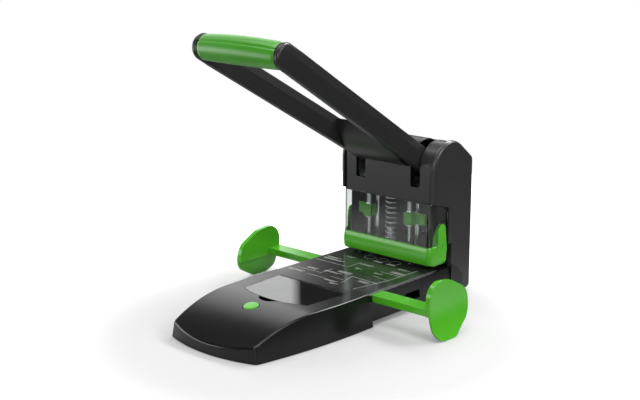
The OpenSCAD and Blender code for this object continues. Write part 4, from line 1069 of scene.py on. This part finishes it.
class PUNCH_OT_carriage(bpy.types.Operator):
    """Finishes the crosshead, punches, dies and latches"""
    bl_idname = "punch.carriage"
    bl_label = "Carriage"

    def execute(self, context):
        eased("crosshead", "crosshead_casting", 0.5 * MM, "Blackened_steel")
        for side in ("left", "right"):
            eased("latch_" + side, "latch_" + side + "_moulding", 0.6 * MM, GREEN)
            eased("punch_holder_" + side, "holder_" + side + "_turned", 0.3 * MM, BRIGHT)
            eased("guide_rod_" + side, "rod_" + side + "_turned", 0.3 * MM, BRIGHT)
            eased("punch_" + side, "pin_" + side + "_ground", 0.1 * MM, BRIGHT)
        eased("die_bushes", "die_bushes_turned", 0.2 * MM, BRIGHT)
        eased("rod_bushes", "rod_bushes_pressed", 0.2 * MM, "Sintered_bronze")
        return {"FINISHED"}


def guard_plan(half, front, back, inset, corner=(12 * MM, 14.2 * MM)):
    """Plan of the guard: a straight front, elliptical corners and straight sides."""
    a, b = corner[0] - inset, corner[1] - inset
    cx, cy = half - corner[0], front + corner[1]
    points = [(half - inset, back)]
    for i in range(17):
        t = -math.pi / 2 * i / 16
        points.append((cx + a * math.cos(t), cy + b * math.sin(t)))
    return points + [(-x, y) for x, y in reversed(points)]


def guard_foot_piece():
    """The green foot: a bulging front with soft corners that run up into two ears."""
    foot = eased_shape("guard_foot", "guard_foot_moulding", sizes().green_edge, steps=3,
                       fold=35)
    low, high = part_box("guard_foot")
    front, sill, reach = low.y, 86 * MM, high.y + 5 * MM
    middle, bulge_r = low.z + 13 * MM, 55 * MM
    toe_r, brow_r = 2.5 * MM, 4.5 * MM

    def bulge(z):
        """How far the front falls back from its fullest at a height."""
        fall = bulge_r - math.sqrt(bulge_r ** 2 - (z - middle) ** 2)
        under = max(0.0, low.z + toe_r - z)
        over = min(brow_r, max(0.0, z - sill + brow_r))
        fall += toe_r - math.sqrt(max(0.0, toe_r ** 2 - under ** 2))
        return fall + brow_r - math.sqrt(max(0.0, brow_r ** 2 - over ** 2))

    rings = []
    for z in [low.z + 0.01 * MM + (sill - low.z) * k / 26 for k in range(27)]:
        fall = bulge(min(z, sill))
        side = min(fall, toe_r) if z < low.z + 2 * toe_r else 0.0
        rings.append([(max(-high.x + side, min(high.x - side, x)),
                       y + fall if y < reach else y, z)
                      for x, y in guard_plan(high.x, front, reach, 0)])
    rings.append([(x, y, high.z + 5 * MM) for x, y, z in rings[-1]])
    carve(foot, piece_from(stacked(rings), "Foot_envelope"), "INTERSECT")
    settle(reshaded(foot), "guard_foot", GREEN)


def shield_piece():
    """The clear shield: one bent sheet, its sides lower at the back and rounded there."""
    thick, outer = 1.8 * MM, 90 * MM
    low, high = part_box("guard_shield")
    front, back = low.y, 28 * MM
    base = low.z
    top, drop, corner = high.z + 1 * MM, 10.5 * MM, 7 * MM

    def rim(y):
        """Height of the shield's upper edge."""
        run = max(0.0, y - front - 8 * MM) / (back - front - 8 * MM)
        height = top - drop * run
        short = corner - (back - y)
        if short > 0:
            height -= corner - math.sqrt(max(0.0, corner ** 2 - short ** 2))
        return height

    fine = []
    for inset in (0, thick):
        pts = guard_plan(outer, front, back, inset)
        side = [(pts[0][0], pts[0][1] + (pts[1][1] - pts[0][1]) * k / 14) for k in range(14)]
        fine.append(side + pts[1:-1] + [(-x, y) for x, y in reversed(side)])
    rows = [[(x, y, base) for x, y in fine[0]], [(x, y, rim(y)) for x, y in fine[0]],
            [(x, y, rim(y)) for x, y in fine[1]], [(x, y, base) for x, y in fine[1]]]
    bm = bmesh.new()
    made = [[bm.verts.new(p) for p in row] for row in rows]
    count = len(made[0])
    for a, b in ((0, 1), (1, 2), (2, 3), (3, 0)):
        for i in range(count - 1):
            bm.faces.new((made[a][i], made[a][i + 1], made[b][i + 1], made[b][i]))
    for i in (0, count - 1):
        bm.faces.new([made[k][i] for k in range(4)])
    bmesh.ops.recalc_face_normals(bm, faces=bm.faces)
    rims = folded_edges(bm, 50, lambda e: e.verts[0].co.z > base + 5 * MM
                        and e.verts[1].co.z > base + 5 * MM)
    rounded(bm, rims, 0.35 * MM, 2)
    soften(bm)
    settle(weighted(piece_from(bm, "guard_shield_moulding")), "guard_shield", "Clear_acrylic")


class PUNCH_OT_guard(bpy.types.Operator):
    """Shapes the green foot and the clear shield, and eases the rivets"""
    bl_idname = "punch.guard"
    bl_label = "Guard"

    def execute(self, context):
        guard_foot_piece()
        shield_piece()
        eased("guard_rivets", "guard_rivets_headed", 0.4 * MM, GREEN, steps=3)
        return {"FINISHED"}


# ---------- lever ----------

GRIP_S = 410.8 * MM                 # from the pivot to the middle of the grip, along the arm
ROOT_R = 17.5 * MM
TIP_R = 18.5 * MM
SPLAY_S = 65 * MM                   # from here on the arms spread outwards
TIP_EDGE = 3.9 * MM                 # radius of the outer edge round the grip's end
CREASE_FOLD = math.radians(5)       # an arm shows an edge where it folds by more than this
CREASE_LENGTH = 9 * MM              # along a line longer than this
ROOT_X = (47 * MM, 61 * MM)         # inner and outer faces at the tower
TIP_X = (74.5 * MM, 82 * MM)        # inner and outer faces at the grip


def on_lever(s, t, x):
    """A point along the lever: s from the pivot, t across it, upwards, x to the right."""
    c, n = math.cos(REST_ANGLE), math.sin(REST_ANGLE)
    return Vector((x, PIVOT.y - s * c + t * n, PIVOT.z + s * n + t * c))


def arm_faces(s):
    """Inner and outer x of the right-hand arm at a distance along it."""
    far = GRIP_S + TIP_R
    share_in = max(0.0, (s - SPLAY_S) / (far - 1.5 * MM - SPLAY_S))
    share_out = min(1.0, max(0.0, (s - SPLAY_S) / (GRIP_S - TIP_R + 1.5 * MM - SPLAY_S)))
    inner = ROOT_X[0] + share_in * (TIP_X[0] - ROOT_X[0])
    outer = ROOT_X[1] + share_out * (TIP_X[1] - ROOT_X[1])
    return min(inner, TIP_X[0]), outer


def arm_side():
    """Points along an arm's upper edge, from its root to its tip, with their normals."""
    points = []
    for i in range(13):
        a = math.pi - i / 12 * math.pi / 2
        points.append((ROOT_R * math.cos(a), ROOT_R * math.sin(a), math.cos(a), math.sin(a)))
    for s in (20, 45, 60, 65, 70, 110, 160, 220, 280, 340, 375, 388):
        share = s * MM / GRIP_S
        points.append((s * MM, ROOT_R + (TIP_R - ROOT_R) * share, 0.0, 1.0))
    for i in range(15):
        a = math.pi / 2 - i / 14 * math.pi / 2
        points.append((GRIP_S + TIP_R * math.cos(a), TIP_R * math.sin(a),
                       math.cos(a), math.sin(a)))
    return points


def arm_mesh():
    """The right-hand arm: rounded edges, and a crease along the upper third of each face."""
    edge, lean = sizes().arm_edge, sizes().arm_crease
    crease = 0.3
    upper = arm_side()
    outline = upper + [(s, -t, ns, -nt) for s, t, ns, nt in reversed(upper[1:-1])]
    turn = quarter(5)

    def rounding(s, side):
        """Radius of the edge: it grows round the grip's end on the outer face."""
        near = min(1.0, max(0.0, (s - GRIP_S + 26 * MM) / (22 * MM)))
        return edge + (TIP_EDGE - edge) * near * near * side

    rings = []
    for side in (0, 1):
        for inward, down in (turn if side == 0 else turn[::-1]):
            ring = []
            for s, t, ns, nt in outline:
                local = rounding(s, side)
                inset, depth = local * down, local * inward
                s_in, t_in = s - ns * inset, t - nt * inset
                inner, outer = arm_faces(s)
                drop = lean * max(0.0, (t / ROOT_R - crease) / (1 - crease))
                x = inner + drop + depth if side == 0 else outer - drop - depth
                ring.append(on_lever(s_in, t_in, x))
            rings.append(ring)
    bm = stacked(rings, close_first=False, close_last=False)
    count, half = len(outline), len(upper)
    built = list(bm.verts)
    for start, side in ((0, 0), (len(built) - count, 1)):
        rim = built[start:start + count]
        top = rim[:half]
        low = [rim[0]] + rim[:half - 1:-1] + [rim[half - 1]]
        middle = []
        for i in range(half):
            s, t, ns, nt = upper[i]
            if i in (0, half - 1):
                middle.append(top[i])
                continue
            inner, outer = arm_faces(s)
            local = rounding(s, side)
            s_in = s - ns * local
            t_mid = min(crease * ROOT_R, t - nt * local)
            middle.append(bm.verts.new(on_lever(s_in, t_mid, inner if side == 0 else outer)))
        for i in range(half - 1):
            for a, b in ((top, middle), (middle, low)):
                corners = [a[i], a[i + 1], b[i + 1], b[i]]
                unique = list(dict.fromkeys(corners))
                if len(unique) > 2:
                    bm.faces.new(unique)
    bmesh.ops.recalc_face_normals(bm, faces=bm.faces)
    return bm


def arm_piece(side):
    node = "arm_right" if side > 0 else "arm_left"
    bm = arm_mesh()
    if side < 0:
        mirrored(bm)
    for face in bm.faces:
        face.smooth = True
    for line in bm.edges:
        line.smooth = not (line.is_manifold and line.calc_face_angle(0.0) > CREASE_FOLD
                           and line.calc_length() > CREASE_LENGTH)
    return settle(weighted(piece_from(bm, node + "_moulding")), node, "Eroded_black_ABS")


def sleeve_profile(half, radius, waist):
    """Radius of the grip sleeve along its length, with rounded ends: (x, radius) pairs."""
    steps = 24
    lip = 1.2 * MM
    points = []
    for i in range(-steps, steps + 1):
        x = half * i / steps
        r = radius - waist * (i / steps) ** 2
        near = half - abs(x)
        if near < lip:
            r -= lip - math.sqrt(max(0.0, lip ** 2 - (lip - near) ** 2))
        points.append((x, r))
    return points


def grip_mesh():
    """The grip sleeve: a barrel with two fine mould lines along it."""
    low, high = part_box("grip_sleeve")
    half = (high.x - low.x) / 2
    radius = 19 * MM
    around = 96
    groove, width = 1.0 * MM, 0.06
    lines = (math.radians(144.5), math.radians(324.5))
    centre = on_lever(GRIP_S, 0, 0)
    rings = []
    for x, r in sleeve_profile(half, radius + 0.8 * MM, 1.7 * MM):
        ring = []
        bow = 1.1 * MM * (1 - (x / half) ** 2)
        for i in range(around):
            a = 2 * math.pi * i / around
            off = min(abs(math.remainder(a - line, 2 * math.pi)) for line in lines)
            depth = groove * math.exp(-(off / width) ** 2)
            ring.append(Vector((x, centre.y - 0.3 * bow + (r - depth) * math.cos(a),
                                centre.z + bow + (r - depth) * math.sin(a))))
        rings.append(ring)
    bore = 11.1 * MM
    for x in (half, -half):
        ring = [Vector((x, centre.y + bore * math.cos(2 * math.pi * i / around),
                        centre.z + bore * math.sin(2 * math.pi * i / around)))
                for i in range(around)]
        rings.append(ring)
    rings.append(rings[0])
    bm = stacked(rings, close_first=False, close_last=False)
    bmesh.ops.remove_doubles(bm, verts=bm.verts, dist=1e-7)
    bmesh.ops.recalc_face_normals(bm, faces=bm.faces)
    soften(bm)
    return bm


class PUNCH_OT_lever(bpy.types.Operator):
    """Builds the two arms and the grip, and eases the lever's other pieces"""
    bl_idname = "punch.lever"
    bl_label = "Lever"

    def execute(self, context):
        arm_piece(-1)
        arm_piece(1)
        settle(piece_from(grip_mesh(), "grip_sleeve_moulding"), "grip_sleeve", "Soft_green_TPE")
        eased("lever_bridge", "lever_bridge_moulding", 0.8 * MM, "Eroded_black_ABS", steps=3)
        eased("grip_collars", "grip_collars_moulding", 0.3 * MM, "Eroded_black_ABS")
        eased("pivot_shaft", "pivot_shaft_ground", 0.5 * MM, BRIGHT)
        eased("shaft_clips", "shaft_clips_stamped", 0.2 * MM, "Blackened_steel")
        eased("pivot_washers", "pivot_washers_moulding", 0.2 * MM, "Natural_nylon")
        eased("rollers", "rollers_ground", 0.3 * MM, BRIGHT)
        return {"FINISHED"}


# ---------- paper guides ----------

GROOVE = 1.6 * MM                   # depth of the bars' teeth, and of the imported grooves


class PUNCH_OT_guides(bpy.types.Operator):
    """Eases the guide bars and paddles, and cuts the rack of teeth along each bar"""
    bl_idname = "punch.guides"
    bl_label = "Paper guides"

    def execute(self, context):
        tree = row_tree(finish(GREEN))
        pitch = sizes().rack_pitch
        for side, label in ((1, "right"), (-1, "left")):
            bar, paddle = "guide_bar_" + label, "paddle_" + label
            eased(paddle, paddle + "_moulding", 1.3 * MM, GREEN, steps=3, fold=40)
            low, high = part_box(bar)
            rack_y = high.y if side > 0 else low.y
            groove = Vector((pitch * 0.45, GROOVE, 6.4 * MM))
            first = (low.x if side > 0 else high.x) + side * 12 * MM
            count = int((high.x - low.x - 26 * MM) / pitch)
            rack = grown("Rack_cutter", tree, {
                "Start": Vector((first, rack_y, (low.z + high.z) / 2)),
                "Step": Vector((side * pitch, 0, 0)), "Count": count, "Block": groove})
            bm = merged_copy(bar)
            smooth_y = low.y if side > 0 else high.y
            for vert in bm.verts:
                if abs(vert.co.y - smooth_y) < GROOVE:
                    vert.co.y = smooth_y
            bmesh.ops.remove_doubles(bm, verts=bm.verts, dist=1e-5)
            bmesh.ops.dissolve_limit(bm, angle_limit=FLAT_LIMIT, verts=bm.verts,
                                     edges=bm.edges)
            rounded(bm, folded_edges(bm, 28), sizes().green_edge, 3)
            toothed = carve(piece_from(bm, bar + "_moulding"), rack)
            settle(reshaded(toothed), bar, GREEN)
        return {"FINISHED"}


# ---------- print ----------

TABLE_Z = 47.5 * MM


def flat_ring(bm, centre, half_length, radius, width, z, height):
    """A stadium-shaped line, printed flat."""
    steps = 16
    rows = []
    for offset in (-width / 2, width / 2):
        r = radius + offset
        row = []
        for end in (1, -1):
            for i in range(steps + 1):
                a = math.pi / 2 * end - i / steps * math.pi
                row.append((centre[0] + end * half_length + r * math.cos(a),
                            centre[1] + r * math.sin(a)))
        rows.append(row)
    count = len(rows[0])
    low = [[bm.verts.new((x, y, z)) for x, y in row] for row in rows]
    top = [[bm.verts.new((x, y, z + height)) for x, y in row] for row in rows]
    for i in range(count):
        j = (i + 1) % count
        bm.faces.new((top[0][i], top[0][j], top[1][j], top[1][i]))
        bm.faces.new((low[0][j], low[0][i], low[1][i], low[1][j]))
        bm.faces.new((low[1][i], top[1][i], top[1][j], low[1][j]))
        bm.faces.new((low[0][j], top[0][j], top[0][i], low[0][i]))


def flat_line(bm, start, end, width, z, height):
    """A straight printed line between two points."""
    a, b = Vector((*start, 0)), Vector((*end, 0))
    along = (b - a).normalized()
    across = Vector((-along.y, along.x, 0)) * width / 2
    corners = [a - across, b - across, b + across, a + across]
    low = [bm.verts.new(c + Vector((0, 0, z))) for c in corners]
    top = [bm.verts.new(c + Vector((0, 0, z + height))) for c in corners]
    bm.faces.new(top)
    bm.faces.new(low[::-1])
    for i in range(4):
        j = (i + 1) % 4
        bm.faces.new((low[i], low[j], top[j], top[i]))


def print_lines(bm, ends, width, height):
    """Lays straight lines on the table, each between two points in mm."""
    for start, end in ends:
        flat_line(bm, [c * MM for c in start], [c * MM for c in end], width, TABLE_Z, height)


# The table's print, in mm: lines and thicker marks from point to point, rings in a row, and
# blocks of dashes with their left end, upper y, length and number of rows
TABLE_LINES = (
    ((58, -152), (70, -86)), ((70, -86), (72, -20)), ((37, -83), (68, -87)),
    ((17, -107), (26, -142)), ((17, -107), (68, -110)), ((-44, -140), (-6, -140)),
    ((-86, -74), (-20, -74)), ((-20, -74), (-20, -44)), ((33, -60), (72, -60)),
    ((-78, -124), (-30, -124)), ((-30, -124), (-30, -98)), ((-6, -128), (18, -128)))
TABLE_WORDS = (
    (-82, -50, 30, 2), (-82, -58, 42, 2), (-17, -47, 26, 2), (-8, -70, 14, 2),
    (-84, -134, 32, 3), (-66, -112, 22, 3), (-34, -109, 34, 2), (-16, -97, 28, 3),
    (46, -48, 26, 3), (30, -70, 18, 2), (40, -115, 20, 3), (-6, -142, 28, 2),
    (12, -150, 18, 2), (-60, -30, 20, 2), (44, -30, 22, 2))

RING_XS, RING_Y, RING_R = (-28.5, -4, 21), -11.5, 8.5
TABLE_MARKS = (((-12, -23.4), (5, -23.7)), ((13.4, -23.2), (30.2, -22.8)))


class PUNCH_OT_print(bpy.types.Operator):
    """Prints plain guide lines and rows of dashes on the table"""
    bl_idname = "punch.print"
    bl_label = "Print"

    def execute(self, context):
        height = sizes().print_height
        ink = finish("Pale_screen_ink")
        bm = bmesh.new()
        print_lines(bm, TABLE_LINES, 0.45 * MM, height)
        for x in RING_XS:
            flat_ring(bm, (x * MM, RING_Y * MM), 0.5 * MM, RING_R * MM, 0.3 * MM, TABLE_Z,
                      height)
        print_lines(bm, TABLE_MARKS, 1.6 * MM, height)
        lines = piece_from(bm, "table_print_lines")
        lines.data.materials.append(ink)
        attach(lines, "chassis")
        tree = row_tree(ink)
        for i, (x, y, length, rows) in enumerate(TABLE_WORDS):
            for row in range(rows):
                dashes = grown(f"table_print_dashes_{i}_{row}", tree, {
                    "Start": Vector(((x + 1) * MM, (y - 2.5 * row) * MM, TABLE_Z + height / 2)),
                    "Step": Vector((2.6 * MM, 0, 0)),
                    "Count": max(2, int(length / 2.6) - 2 * (row % 2)),
                    "Block": Vector((1.9 * MM, 0.85 * MM, height))})
                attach(dashes, "chassis")
        return {"FINISHED"}


# ---------- small parts left as packed ----------

PLAIN_FINISHES = {
    "lid_pin": BRIGHT, "grip_tube": STEEL,
    "rear_screws": STEEL, "base_screws": STEEL}


class PUNCH_OT_small_parts(bpy.types.Operator):
    """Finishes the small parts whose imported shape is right"""
    bl_idname = "punch.small_parts"
    bl_label = "Small parts"

    def execute(self, context):
        for node, name in PLAIN_FINISHES.items():
            NODES[node].material_slots[0].material = finish(name)
        return {"FINISHED"}


# ---------- panel and registration ----------

class PUNCH_PT_panel(bpy.types.Panel):
    """Lists the punch's operators and sizes"""
    bl_idname = "PUNCH_PT_panel"
    bl_label = "Punch"
    bl_space_type = "VIEW_3D"
    bl_region_type = "UI"
    bl_category = "Punch"

    def draw(self, context):
        for step in STEPS:
            self.layout.operator(step.bl_idname)
        for group in (context.scene.punch_sizes, context.scene.punch_colours):
            box = self.layout.box()
            for name in group.__annotations__:
                box.prop(group, name)


STEPS = (PUNCH_OT_stage, PUNCH_OT_base, PUNCH_OT_tower, PUNCH_OT_springs, PUNCH_OT_carriage,
         PUNCH_OT_guard, PUNCH_OT_lever, PUNCH_OT_guides, PUNCH_OT_print, PUNCH_OT_small_parts)
CLASSES = (PunchSizes, PunchColours, *STEPS, PUNCH_PT_panel)


def register():
    for made in CLASSES:
        bpy.utils.register_class(made)
    bpy.types.Scene.punch_sizes = bpy.props.PointerProperty(type=PunchSizes)
    bpy.types.Scene.punch_colours = bpy.props.PointerProperty(type=PunchColours)


def unregister():
    del bpy.types.Scene.punch_colours
    del bpy.types.Scene.punch_sizes
    for made in reversed(CLASSES):
        bpy.utils.unregister_class(made)


def main():
    register()
    for step in STEPS:
        group, name = step.bl_idname.split(".")
        getattr(getattr(bpy.ops, group), name)()


if __name__ == "__main__":
    main()
